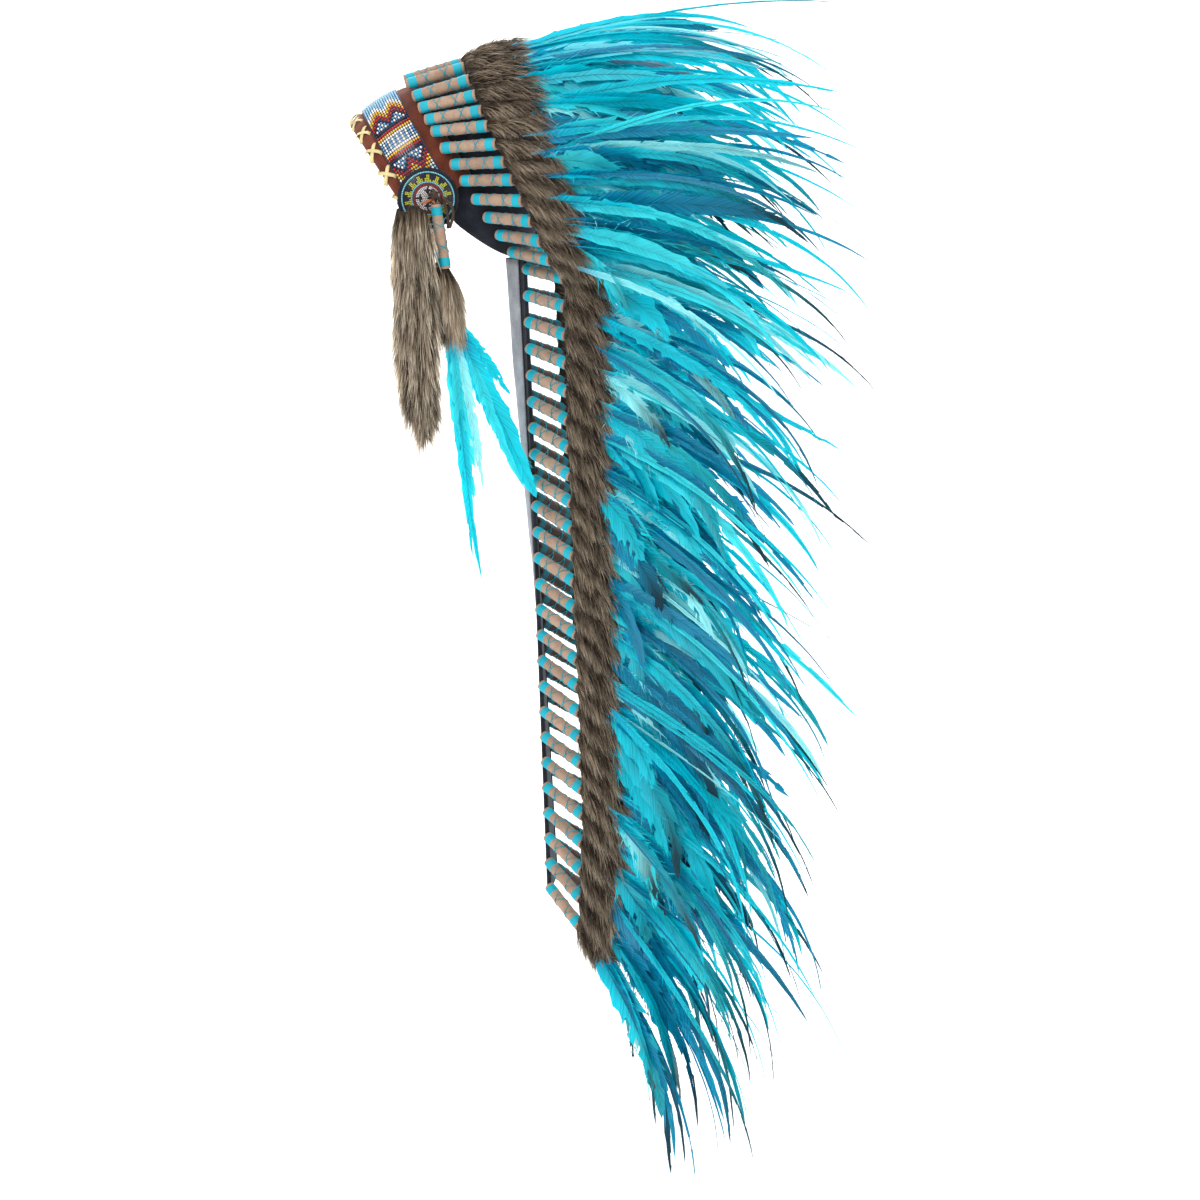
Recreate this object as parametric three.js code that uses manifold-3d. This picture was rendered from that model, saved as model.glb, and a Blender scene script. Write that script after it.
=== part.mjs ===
// Feathered headdress in the war-bonnet style: a beaded brow band on a felt skull cap, a crown
// of wrapped and feathered quills, a trailer with a row of the same quills down each edge, and
// a rosette with a fur tail and a feathered drop at each temple.
//
// Millimetres, +Z up. The wearer faces -Y and the wearer's left is +X. The origin is the middle
// of the head opening, level with the middle of the bead strip.
//
// Most places are worked out in one of two frames:
//   the head frame: x to the wearer's left, y from forehead to nape, z up the head. It is the
//     object's frame tipped forward by HEAD_TILT, because the headdress hangs by its trailer;
//   the trailer frame: x across the strip, y behind it, and `drop` down it from the nape.

import * as THREE from 'three';
import { mergeVertices } from 'three/addons/utils/BufferGeometryUtils.js';
import Module from 'manifold-3d';

const wasm = await Module();
wasm.setup();

const DEG = Math.PI / 180;
const X_AXIS = new THREE.Vector3(1, 0, 0);
const Y_AXIS = new THREE.Vector3(0, 1, 0);
const Z_AXIS = new THREE.Vector3(0, 0, 1);
const SIDES = [{ name: 'left', sign: 1 }, { name: 'right', sign: -1 }];
const GAP = 0.4; // clearance between neighbouring pieces

// ---- driving dimensions -------------------------------------------------------------------

// The bead strip's outer face follows an egg-shaped plan, elliptical in front and squarer behind.
const HEAD_TILT = 57.3 * DEG;
const PLAN = { back: 111.5, side: 74, frontPower: 2, napePower: 2.5 };
const LEAN = { inward: 6.5, over: 37 }; // the band's faces lean in this much, this far up or down
const SADDLE = 7.5; // the bead strip and the quills sit this much lower at the temples

const LEATHER = 2;
const FELT = 2;
const BAND = { bottom: -37, top: 36, foldTop: -23, fold: 1.6, reach: 91 * DEG, steps: 22 };
const BEADS = { halfWidth: 19.3, thickness: 1.8, reach: 82 * DEG, steps: 22 };

// Skull cap: its outer face at a few heights up the head, and its lower edge from front to nape.
const CAP_SECTIONS = [
  { up: -8, front: 104.6, back: 106, side: 67 },
  { up: 14, front: 103.6, back: 105.4, side: 66 },
  { up: 38, front: 99.4, back: 101.6, side: 62 },
  { up: 56, front: 96.5, back: 88.5, side: 59.5 },
  { up: 74, front: 90, back: 69, side: 51 },
  { up: 87, front: 75, back: 44, side: 37 },
  { up: 93, front: 46, back: 14, side: 18 },
];
const CAP_RIM = [
  { around: 0, up: 8 },
  { around: 75, up: 2 },
  { around: 104, up: -2 },
  { around: 142, up: 23 },
  { around: 165, up: 38 },
  { around: 180, up: 40 },
];
const CAP_TOP = { up: 94.5, back: -16 };
const CAP_COLUMNS = 24;

// A quill: a leather-wrapped shaft, then a fur cuff, then the feathers.
const WRAP = { length: 60, baseRadius: 5.5, endRadius: 6.1 };
const FUR = { length: 58, thickness: 13, notch: 12, fullest: 0.42, notchSize: 0.75, endSize: 0.6 };
const CROWN_BASE_UP = 32; // height of the crown quills' bases at the forehead

// Crown quills of one side, counted from the middle of the forehead. `along` is the base's place
// from forehead to nape, `pitch` the rise of the quill, `flare` its turn away from the middle
// plane, and `droop` how much the feathers' pitch falls by their tips. Between rows, in line.
const CROWN_QUILLS = 12;
const CROWN_WRAP_SIDES = 7;
const CROWN_KEYS = [
  { quill: 0, along: -111.5, pitch: 16, flare: 0, droop: 33, plume: 292 },
  { quill: 1, along: -106.5, pitch: 16, flare: 6, droop: 34, plume: 298 },
  { quill: 2, along: -93, pitch: 16, flare: 16, droop: 36, plume: 300 },
  { quill: 5, along: -55, pitch: 5.5, flare: 24.5, droop: 32, plume: 300 },
  { quill: 8, along: 0, pitch: 1.5, flare: 34, droop: 34, plume: 305 },
  { quill: 12, along: 84, pitch: -10.5, flare: 50, droop: 33, plume: 300 },
];

// Trailer: a strip of felt with a row of quills down each edge. At its top it is bowed forward
// by `bulge`, and it is flat from `bulgeEnd` down.
const TRAILER = {
  quills: 25, spacing: 26.08, firstDrop: 9, length: 643, halfWidth: 37, top: -64, back: 83.4,
  rake: 0.0443, bulge: 14.5, bulgeEnd: 360, bulgePower: 1.4, twist: 8 * DEG, stations: 9,
  felt: 1.4, lining: 1.2, liningHalfWidth: 31, liningAhead: 2, roundedEnd: 8,
};
const BINDING = { width: 4.8, thickness: 4.4, quillOut: 4.7 };
const TRAILER_WRAP_SIDES = 5;
const TRAILER_KEYS = [
  { quill: 0, pitch: -12, flare: 51, droop: 33, plume: 300 },
  { quill: 5, pitch: -24, flare: 47, droop: 26, plume: 300 },
  { quill: 7, pitch: -27, flare: 44, droop: 26, plume: 300 },
  { quill: 20, pitch: -29, flare: 38, droop: 36, plume: 285 },
  { quill: 24, pitch: -43, flare: 38, droop: 30, plume: 240 },
];
// The right row's quills hang this many degrees lower than the left row's.
const RIGHT_ROW_KEYS = [{ quill: 0, lower: 0 }, { quill: 10, lower: 10 }, { quill: 24, lower: 5 }];
const FLARE_CLOSE = 0.6; // share of its flare that a plume loses by its tip

// The lock of feathers of one quill: its size at shares of the way to its pointed tip.
const PLUME_LOCK = [
  { at: 0, width: 15, thickness: 3.2 },
  { at: 0.17, width: 25, thickness: 11 },
  { at: 0.67, width: 20, thickness: 9 },
];
const LACING = { width: 5, thickness: 5 };

// Rosette and what hangs from it.
const ROSETTE = { along: -3.5, up: -12, out: 2, backingRadius: 30, faceRadius: 25.7,
  backing: 2.4, face: 1.9, sides: 28 };

// ---- helpers ------------------------------------------------------------------------------

const vec = (x, y, z) => new THREE.Vector3(x, y, z);

// Value of one column of a keyed table at a place between its rows.
function lookUp(rows, key, place, column) {
  let i = 0;
  while (i < rows.length - 2 && place > rows[i + 1][key]) i += 1;
  const [low, high] = [rows[i], rows[i + 1]];
  const share = THREE.MathUtils.clamp((place - low[key]) / (high[key] - low[key]), 0, 1);
  return THREE.MathUtils.lerp(low[column], high[column], share);
}

function indexedGeometry(points, triangles) {
  const geometry = new THREE.BufferGeometry().setFromPoints(points);
  geometry.setIndex(triangles.flat());
  return geometry;
}

// Triangles that close a flat outline, as indices into it.
function capTriangles(ring) {
  const normal = vec(0, 0, 0);
  ring.forEach((point, i) => normal.add(point.clone().cross(ring[(i + 1) % ring.length])));
  const turn = new THREE.Quaternion().setFromUnitVectors(normal.normalize(), Z_AXIS);
  const flat = ring.map((point) => point.clone().applyQuaternion(turn));
  return THREE.ShapeUtils.triangulateShape(flat.map((p) => new THREE.Vector2(p.x, p.y)), []);
}

// Closed solid through rings of equal point count. An end is a flat cap or runs to a point.
function loft(rings, { foot = null, tip = null } = {}) {
  const count = rings[0].length;
  const points = rings.flat();
  const triangles = [];
  for (let r = 0; r < rings.length - 1; r += 1) {
    for (let i = 0; i < count; i += 1) {
      const a = r * count + i;
      const b = r * count + ((i + 1) % count);
      triangles.push([a, b, b + count], [a, b + count, a + count]);
    }
  }
  const last = (rings.length - 1) * count;
  if (foot) {
    points.push(foot);
    for (let i = 0; i < count; i += 1) triangles.push([points.length - 1, (i + 1) % count, i]);
  } else {
    capTriangles(rings[0]).forEach(([a, b, c]) => triangles.push([c, b, a]));
  }
  if (tip) {
    points.push(tip);
    for (let i = 0; i < count; i += 1) {
      triangles.push([points.length - 1, last + i, last + ((i + 1) % count)]);
    }
  } else {
    capTriangles(rings.at(-1)).forEach(([a, b, c]) => triangles.push([last + a, last + b, last + c]));
  }
  return faceOutward(indexedGeometry(points, triangles));
}

// Turns every face over when the solid's signed volume is negative.
function faceOutward(geometry) {
  const position = geometry.getAttribute('position');
  const index = geometry.getIndex().array;
  const corner = (i) => new THREE.Vector3().fromBufferAttribute(position, index[i]);
  let volume = 0;
  for (let i = 0; i < index.length; i += 3) {
    volume += corner(i).dot(corner(i + 1).cross(corner(i + 2)));
  }
  if (volume < 0) {
    for (let i = 0; i < index.length; i += 3) {
      [index[i + 1], index[i + 2]] = [index[i + 2], index[i + 1]];
    }
  }
  return geometry;
}

function toManifold(geometry) {
  const bare = geometry.clone();
  bare.deleteAttribute('normal');
  bare.deleteAttribute('uv');
  const merged = mergeVertices(bare, 1e-4);
  return new wasm.Manifold(new wasm.Mesh({
    numProp: 3,
    vertProperties: new Float32Array(merged.getAttribute('position').array),
    triVerts: new Uint32Array(merged.getIndex().array),
  }));
}

function toGeometry(manifold) {
  const { vertProperties, triVerts } = manifold.getMesh();
  const geometry = new THREE.BufferGeometry();
  geometry.setAttribute('position', new THREE.BufferAttribute(new Float32Array(vertProperties), 3));
  geometry.setIndex(new THREE.BufferAttribute(new Uint32Array(triVerts), 1));
  return geometry;
}

// One solid out of several that run into each other.
function fuse(geometries) {
  return toGeometry(geometries.map(toManifold).reduce((whole, part) => whole.add(part)));
}

// ---- materials ----------------------------------------------------------------------------

function material(color, roughness) {
  return new THREE.MeshStandardMaterial({ color, roughness, metalness: 0 });
}

const MATERIALS = {
  suede: material(0x6b3322, 0.95),
  beads: material(0x8cc4e8, 0.35),
  darkFelt: material(0x23262e, 0.95),
  greyFelt: material(0x9699a0, 0.95),
  rosetteFace: material(0x7fd6e8, 0.35),
  thong: material(0x4a3a32, 0.8),
  wrap: material(0xbe8c6e, 0.8),
  fur: material(0x8a7660, 1),
  feather: material(0x00b8d0, 0.6),
};

const group = new THREE.Group();

function addPiece(parent, name, geometry, look) {
  geometry.computeVertexNormals();
  const mesh = new THREE.Mesh(geometry, look);
  mesh.name = name;
  parent.add(mesh);
  return mesh;
}

// ---- head: brow band, bead strip, skull cap, rosettes --------------------------------------

const head = new THREE.Group();
head.rotation.x = -HEAD_TILT;
group.add(head);

const headToObject = (point) => point.clone().applyAxisAngle(X_AXIS, -HEAD_TILT);

// Plan of the head at an angle from the forehead, for given half-sizes.
function planPoint(around, front, back, side, up) {
  const power = Math.cos(around) > 0 ? PLAN.frontPower : PLAN.napePower;
  const reach = Math.cos(around) > 0 ? front : back;
  const across = Math.sign(Math.sin(around)) * Math.abs(Math.sin(around)) ** (2 / power);
  const along = -Math.sign(Math.cos(around)) * Math.abs(Math.cos(around)) ** (2 / power);
  return vec(side * across, reach * along, up);
}

// Half-width of the plan at a place between forehead and nape.
function planSide(along) {
  const power = along < 0 ? PLAN.frontPower : PLAN.napePower;
  return PLAN.side * (1 - Math.abs(along / PLAN.back) ** power) ** (1 / power);
}

// Point on the band, `out` from the face of the bead strip.
function bandPoint(around, up, out) {
  const inset = LEAN.inward * (up / LEAN.over) ** 2;
  return planPoint(around, PLAN.back - inset + out, PLAN.back - inset + out, PLAN.side - inset + out, up);
}

const saddleAt = (around) => -SADDLE * Math.sin(around) ** 2;

// Wall round the forehead whose section is a list of { up, out }.
function bandWall(reach, steps, sectionAt) {
  const rings = [];
  for (let i = 0; i <= steps; i += 1) {
    const around = THREE.MathUtils.lerp(-reach, reach, i / steps);
    rings.push(sectionAt(around).map(({ up, out }) => bandPoint(around, up, out)));
  }
  return loft(rings);
}

function browBand() {
  const outer = -BEADS.thickness - 2 * GAP;
  const inner = outer - LEATHER;
  return bandWall(BAND.reach, BAND.steps, (around) => {
    const foldTop = BAND.foldTop + 0.7 * saddleAt(around);
    return [
      { up: BAND.bottom, out: inner },
      { up: BAND.bottom, out: outer + BAND.fold },
      { up: foldTop, out: outer + BAND.fold },
      { up: foldTop + 0.6, out: outer },
      { up: 0, out: outer },
      { up: BAND.top, out: outer },
      { up: BAND.top, out: inner },
      { up: 0, out: inner },
    ];
  });
}

function beadStrip() {
  return bandWall(BEADS.reach, BEADS.steps, (around) => {
    const middle = saddleAt(around);
    const [low, high] = [middle - BEADS.halfWidth, middle + BEADS.halfWidth];
    return [
      { up: low, out: -BEADS.thickness },
      { up: low, out: 0 },
      { up: middle, out: 0 },
      { up: high, out: 0 },
      { up: high, out: -BEADS.thickness },
      { up: middle, out: -BEADS.thickness },
    ];
  });
}

// Ring of the cap at each column, `inset` from its outer face. `climb` goes from 0 at the lower
// edge to 1 at the first of the upper sections, and each step past 1 is one section higher.
function capRing(climb, inset) {
  const firstUpper = 3;
  const ring = [];
  for (let i = 0; i < CAP_COLUMNS; i += 1) {
    const around = (2 * Math.PI * i) / CAP_COLUMNS;
    const fromFront = Math.acos(Math.cos(around)) / DEG;
    const rim = lookUp(CAP_RIM, 'around', fromFront, 'up');
    const up = climb <= 1
      ? THREE.MathUtils.lerp(rim, CAP_SECTIONS[firstUpper].up, climb)
      : CAP_SECTIONS[firstUpper + climb - 1].up;
    const size = (column) => lookUp(CAP_SECTIONS, 'up', up, column) - inset;
    ring.push(planPoint(around, size('front'), size('back'), size('side'), up));
  }
  return ring;
}

function skullCap() {
  const climbs = [0, 0.5, 1, 2, 3, 4];
  const outer = climbs.map((climb) => capRing(climb, 0));
  const inner = climbs.map((climb) => capRing(climb, FELT));
  inner.slice(2).forEach((ring, i) => ring.forEach((p) => { p.z -= FELT * (0.25 + 0.25 * i); }));
  return loft([...outer.reverse(), ...inner], {
    foot: vec(0, CAP_TOP.back, CAP_TOP.up),
    tip: vec(0, CAP_TOP.back, CAP_TOP.up - FELT),
  });
}

addPiece(head, 'brow_band', browBand(), MATERIALS.suede);
addPiece(head, 'bead_strip', beadStrip(), MATERIALS.beads);
addPiece(head, 'skull_cap', skullCap(), MATERIALS.darkFelt);

// Disc whose back lies on the plane y = 0, a little smaller in front.
function disc(radius, thickness) {
  return new THREE.CylinderGeometry(radius - 0.5, radius, thickness, ROSETTE.sides)
    .translate(0, thickness / 2, 0);
}

const rosetteOut = PLAN.side + ROSETTE.out;
for (const { name, sign } of SIDES) {
  const rosette = new THREE.Group();
  rosette.position.set(sign * rosetteOut, ROSETTE.along, ROSETTE.up);
  rosette.rotation.z = -sign * 90 * DEG;
  head.add(rosette);
  addPiece(rosette, `rosette_backing_${name}`, disc(ROSETTE.backingRadius, ROSETTE.backing),
    MATERIALS.darkFelt);
  addPiece(rosette, `rosette_face_${name}`, disc(ROSETTE.faceRadius, ROSETTE.face), MATERIALS.rosetteFace)
    .position.y = ROSETTE.backing + GAP;
}

// ---- quills -------------------------------------------------------------------------------

// Unit vector that rises by `pitch` and turns `flare` away from the middle plane.
function heading(pitch, flare, sign) {
  return vec(sign * Math.sin(flare), Math.cos(flare) * Math.cos(pitch), Math.cos(flare) * Math.sin(pitch));
}

function quillFrom(rows, number, sign, base, { turn = 0, lower = 0 } = {}) {
  const column = (name) => lookUp(rows, 'quill', number, name);
  const quill = { sign, base, turn, length: column('plume') };
  for (const name of ['pitch', 'flare', 'droop']) quill[name] = column(name) * DEG;
  quill.pitch -= lower * DEG;
  quill.direction = heading(quill.pitch, quill.flare, sign).applyAxisAngle(Z_AXIS, turn);
  return quill;
}

function crownQuill(number, sign) {
  const along = lookUp(CROWN_KEYS, 'quill', number, 'along');
  const side = planSide(along);
  const up = CROWN_BASE_UP - SADDLE * (side / PLAN.side) ** 2;
  return quillFrom(CROWN_KEYS, number, sign, headToObject(vec(sign * side, along, up)));
}

const trailerTurn = (drop) => (-TRAILER.twist * drop) / TRAILER.length;

// Point of the trailer frame in the object's frame.
function trailerPoint(x, behind, drop) {
  return vec(x, behind, 0).applyAxisAngle(Z_AXIS, trailerTurn(drop))
    .add(vec(0, TRAILER.back + TRAILER.rake * drop, TRAILER.top - drop));
}

function trailerQuill(number, sign) {
  const drop = TRAILER.firstDrop + number * TRAILER.spacing;
  const base = trailerPoint(sign * (TRAILER.halfWidth + BINDING.quillOut), 0, drop);
  const lower = sign < 0 ? lookUp(RIGHT_ROW_KEYS, 'quill', number, 'lower') : 0;
  return quillFrom(TRAILER_KEYS, number, sign, base, { turn: trailerTurn(drop), lower });
}

const countTo = (n) => Array.from({ length: n }, (_, i) => i);
const crownSide = (sign) => countTo(CROWN_QUILLS).map((i) => crownQuill(i + 1, sign));
const crownRow = [...crownSide(-1).reverse(), crownQuill(0, 1), ...crownSide(1)];
const trailerRow = (sign) => countTo(TRAILER.quills).map((i) => trailerQuill(i, sign));

// Directions across each quill: along its row, and square to both.
function addRowFrames(row) {
  row.forEach((quill, i) => {
    const before = row[Math.max(i - 1, 0)].base;
    const after = row[Math.min(i + 1, row.length - 1)].base;
    quill.across = after.clone().sub(before).projectOnPlane(quill.direction).normalize();
    quill.normal = quill.direction.clone().cross(quill.across);
  });
  return row;
}

const outAlong = (quill, distance, lift = 0) => quill.base.clone()
  .addScaledVector(quill.direction, distance).addScaledVector(quill.normal, lift);

// Fur band over a row of quills: a pointed tuft on each quill, with a notch between two.
function furBand(row) {
  const start = WRAP.length + GAP;
  const tuft = (quill, inset, swell) => {
    const near = start + inset;
    const middle = start + FUR.fullest * FUR.length;
    const far = start + FUR.length - inset;
    const half = FUR.thickness * swell;
    return [
      outAlong(quill, near), outAlong(quill, middle, half),
      outAlong(quill, far), outAlong(quill, middle, -half),
    ];
  };
  const notch = (a, b, size, share) => tuft(a, FUR.notch, size)
    .map((point, i) => point.lerp(tuft(b, FUR.notch, size)[i], share));
  const between = (a, b) => notch(a, b, FUR.notchSize, 0.5);
  const beyond = (end, neighbour) => notch(end, neighbour, FUR.endSize, -0.45);
  const rings = [beyond(row[0], row[1])];
  row.forEach((quill, i) => {
    rings.push(tuft(quill, 0, 1));
    if (i < row.length - 1) rings.push(between(quill, row[i + 1]));
  });
  rings.push(beyond(row.at(-1), row.at(-2)));
  return loft(rings);
}

// Pointed lock of feathers that leaves `start` along a pitch and flare and falls as it goes out.
function plumeLock({ start, length, pitch, flare, droop, sign, turn, across }, sections) {
  const steps = 12;
  const place = start.clone();
  const path = [];
  for (let i = 0; i <= steps; i += 1) {
    const done = i / steps;
    const direction = heading(pitch - droop * done, flare * (1 - FLARE_CLOSE * done), sign)
      .applyAxisAngle(Z_AXIS, turn);
    path.push({ place: place.clone(), direction });
    place.addScaledVector(direction, length / steps);
  }
  const rings = sections.map(({ at, width, thickness }) => {
    const { place: middle, direction } = path[Math.round(at * steps)];
    const wide = across.clone().projectOnPlane(direction).normalize();
    const thick = direction.clone().cross(wide);
    return [[0.5, 0], [0, 0.5], [-0.5, 0], [0, -0.5]].map(([w, t]) => middle.clone()
      .addScaledVector(wide, w * width).addScaledVector(thick, t * thickness));
  });
  return loft(rings, { tip: path.at(-1).place });
}

// All plumes of a row, held together by a lacing through their roots.
function plumeRow(row) {
  const root = WRAP.length + FUR.length + 3 * GAP;
  const half = LACING.thickness / 2;
  const lacing = loft(row.map((quill) => [
    outAlong(quill, root, half), outAlong(quill, root, -half),
    outAlong(quill, root + LACING.width, -half), outAlong(quill, root + LACING.width, half),
  ]));
  const locks = row.map((quill) => plumeLock({ ...quill, start: outAlong(quill, root + 2) }, PLUME_LOCK));
  return fuse([lacing, ...locks]);
}

addRowFrames(crownRow);
crownRow.forEach((quill, i) => {
  const number = Math.abs(i - CROWN_QUILLS);
  const side = i < CROWN_QUILLS ? 'right' : 'left';
  const name = number === 0 ? 'crown_wrap_centre' : `crown_wrap_${side}_${String(number).padStart(2, '0')}`;
  const { endRadius, baseRadius, length } = WRAP;
  const cylinder = new THREE.CylinderGeometry(endRadius, baseRadius, length, CROWN_WRAP_SIDES);
  const wrap = addPiece(group, name, cylinder, MATERIALS.wrap);
  wrap.quaternion.setFromUnitVectors(Y_AXIS, quill.direction);
  wrap.position.copy(outAlong(quill, WRAP.length / 2));
});
addPiece(group, 'crown_fur', furBand(crownRow), MATERIALS.fur);
addPiece(group, 'crown_plumes', plumeRow(crownRow), MATERIALS.feather);

// ---- trailer ------------------------------------------------------------------------------

// How far the strip is bowed forward at a place across and down it.
function trailerBow(x, drop) {
  const fade = 1 - Math.min(drop / TRAILER.bulgeEnd, 1) ** TRAILER.bulgePower;
  return -TRAILER.bulge * fade * (1 - (x / TRAILER.halfWidth) ** 2);
}

// How far down the strip its stations are, to where its rounded end begins.
const stationDrops = countTo(TRAILER.stations)
  .map((i) => (i * (TRAILER.length - TRAILER.roundedEnd)) / (TRAILER.stations - 1));

// Sheet of the trailer between two depths behind its middle surface.
function trailerSheet(halfWidth, near, far) {
  const across = [-1, -0.5, 0, 0.5, 1];
  const ringAt = (drop, width) => {
    const at = (share, depth) => trailerPoint(share * width, trailerBow(share * width, drop) + depth, drop);
    const back = across.toReversed().map((share) => at(share, far));
    return [...across.map((share) => at(share, near)), ...back];
  };
  const rings = stationDrops.map((drop) => ringAt(drop, halfWidth));
  rings.push(ringAt(TRAILER.length, halfWidth - TRAILER.roundedEnd));
  return loft(rings);
}

const strip = trailerSheet(TRAILER.halfWidth, 0, TRAILER.felt);
const lining = trailerSheet(TRAILER.liningHalfWidth, -TRAILER.liningAhead - TRAILER.lining,
  -TRAILER.liningAhead);
addPiece(group, 'trailer_strip', strip, MATERIALS.darkFelt);
addPiece(group, 'trailer_lining', lining, MATERIALS.greyFelt);

// Wrap of a trailer quill, with a flat side towards its neighbours.
function trailerWrap(quill) {
  const ring = (distance, radius) => countTo(TRAILER_WRAP_SIDES).map((i) => {
    const angle = ((2 * i + 1) * Math.PI) / TRAILER_WRAP_SIDES;
    return outAlong(quill, distance, radius * Math.sin(angle))
      .addScaledVector(quill.across, radius * Math.cos(angle));
  });
  return loft([ring(0, WRAP.baseRadius), ring(WRAP.length, WRAP.endRadius)]);
}

// Edge binding of the strip with the wrapped quills sewn to it.
function trailerWraps(row, sign) {
  const inside = TRAILER.halfWidth + GAP;
  const half = BINDING.thickness / 2;
  const corners = [[inside, -half], [inside + BINDING.width, 0], [inside, half]];
  const binding = loft(stationDrops.map((drop) => corners
    .map(([x, behind]) => trailerPoint(sign * x, behind, drop))));
  return fuse([binding, ...row.map(trailerWrap)]);
}

for (const { name, sign } of SIDES) {
  const row = addRowFrames(trailerRow(sign));
  addPiece(group, `trailer_wraps_${name}`, trailerWraps(row, sign), MATERIALS.wrap);
  addPiece(group, `trailer_fur_${name}`, furBand(row), MATERIALS.fur);
  addPiece(group, `trailer_plumes_${name}`, plumeRow(row), MATERIALS.feather);
}

// ---- what hangs from each rosette ----------------------------------------------------------

// Fur tail: locks that hang side by side. `back` is the place from front to back of the object.
const TAIL_OUT = 98;
const TAIL_LOCKS = [
  { back: -34, top: -16, length: 190, width: 22, thickness: 20 },
  { back: -26, top: -10, length: 236, width: 26, thickness: 24 },
  { back: -19, top: -14, length: 218, width: 20, thickness: 18 },
];
const TAIL_TIP_BACK = 7; // how far behind its top each lock of the tail ends
const TAIL_PROFILE = [
  { at: 0, size: 0.55 }, { at: 0.12, size: 1 }, { at: 0.6, size: 0.92 }, { at: 0.86, size: 0.6 },
];
// Drop: a wrapped quill, a fur cuff and feathers, on one slanting axis.
const DROP = {
  out: 88, back: -4.7, top: -9, slope: 8 * DEG, wrapLength: 63, wrapTopRadius: 5.4, wrapFootRadius: 6,
  furLength: 80, furWidth: 24, furThickness: 21.6, rootWidth: 14, rootThickness: 12, rootLength: 5,
};
const DROP_FUR_PROFILE = [
  { at: 0, size: 0.6 }, { at: 0.25, size: 0.95 }, { at: 0.75, size: 1.1 }, { at: 1, size: 0.7 },
];
const DROP_FEATHERS = [
  { length: 214, pitch: -80, droop: 12, width: 16 },
  { length: 166, pitch: -72, droop: 10, width: 18 },
  { length: 176, pitch: -74, droop: -17, width: 24 },
  { length: 54, pitch: -50, droop: 0, width: 12 },
];
// Leather tie on the rosette's face, and its free ends: how far each has gone back and down.
const TIE = { knotRadius: 5, knotOut: 4, knotBack: 6, loopRadius: 1.6, endsBack: 14 };
const THONG_ENDS = [
  { out: 85, path: [[0, 0], [3, 10], [5.2, 20], [5, 30]] },
  { out: 88.8, path: [[0, 0], [8, 7.5], [10, 17], [6.5, 29.5]] },
];
const LACE = { diameter: 3, sides: 8, steps: 4 };

// Level ring of a hanging lock, with its sizes out from the head and front to back.
function levelRing(middle, thickness, width, sides) {
  return countTo(sides).map((i) => {
    const angle = (2 * Math.PI * i) / sides;
    return middle.clone().add(vec((thickness / 2) * Math.cos(angle), (width / 2) * Math.sin(angle), 0));
  });
}

function tailLock({ back, top, length, width, thickness }, sign) {
  const middle = (at) => vec(sign * TAIL_OUT, back + TAIL_TIP_BACK * at, top - at * length);
  const rings = TAIL_PROFILE.map(({ at, size }) => levelRing(middle(at), thickness * size, width * size, 6));
  return loft(rings, { tip: middle(1) });
}

// Place on the drop's axis, `down` from the top of its wrap.
function dropPoint(down, sign) {
  const along = vec(0, Math.sin(DROP.slope), -Math.cos(DROP.slope));
  return vec(sign * DROP.out, DROP.back, DROP.top).addScaledVector(along, down);
}

// Round bar between two points, which may be thicker at one end.
function bar(from, to, sides, fromRadius, toRadius = fromRadius) {
  const span = to.clone().sub(from);
  const turn = new THREE.Quaternion().setFromUnitVectors(Y_AXIS, span.clone().normalize());
  return new THREE.CylinderGeometry(toRadius, fromRadius, span.length(), sides).applyQuaternion(turn)
    .translate(...from.clone().lerp(to, 0.5));
}

function dropWrap(sign) {
  const [top, foot] = [dropPoint(0, sign), dropPoint(DROP.wrapLength, sign)];
  return bar(foot, top, 10, DROP.wrapFootRadius, DROP.wrapTopRadius);
}

function dropFur(sign) {
  const start = DROP.wrapLength + 3 * GAP;
  return loft(DROP_FUR_PROFILE.map(({ at, size }) => levelRing(dropPoint(start + at * DROP.furLength, sign),
    DROP.furThickness * size, DROP.furWidth * size, 8)));
}

function dropPlume(sign) {
  const start = dropPoint(DROP.wrapLength + DROP.furLength + 7 * GAP, sign);
  const rootRing = (down) => levelRing(start.clone().add(vec(0, 0.1 * down, -down)),
    DROP.rootThickness, DROP.rootWidth, 6);
  const feathers = DROP_FEATHERS.map(({ length, pitch, droop, width }) => plumeLock({
    start: start.clone().add(vec(0, 0, -2)), length, pitch: pitch * DEG, flare: 0, droop: droop * DEG,
    sign, turn: 0, across: Y_AXIS,
  }, [
    { at: 0, width: 8, thickness: 5 },
    { at: 0.55, width, thickness: 5 },
    { at: 0.8, width: 0.6 * width, thickness: 4 },
  ]));
  return fuse([loft([rootRing(0), rootRing(DROP.rootLength)]), ...feathers]);
}

const rosetteCentre = (sign) => headToObject(vec(sign * rosetteOut, ROSETTE.along, ROSETTE.up));

// A knot on the rosette's face, and the two loops that carry the tail and the drop.
function thong(sign) {
  const { y, z } = rosetteCentre(sign);
  const faceOut = rosetteOut + ROSETTE.backing + ROSETTE.face + 3 * GAP;
  const middle = vec(sign * (faceOut + TIE.knotOut), y + TIE.knotBack, z);
  const knot = new THREE.SphereGeometry(TIE.knotRadius, 6, 4).scale(0.8, 1.2, 1)
    .translate(middle.x, middle.y, middle.z + 1);
  const aboveDrop = dropPoint(-6 * GAP, sign);
  const aboveTail = vec(sign * (TAIL_OUT - 4), y - 6, z - 1);
  return fuse([knot, bar(middle, aboveDrop, 6, TIE.loopRadius), bar(middle, aboveTail, 6, TIE.loopRadius)]);
}

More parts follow.
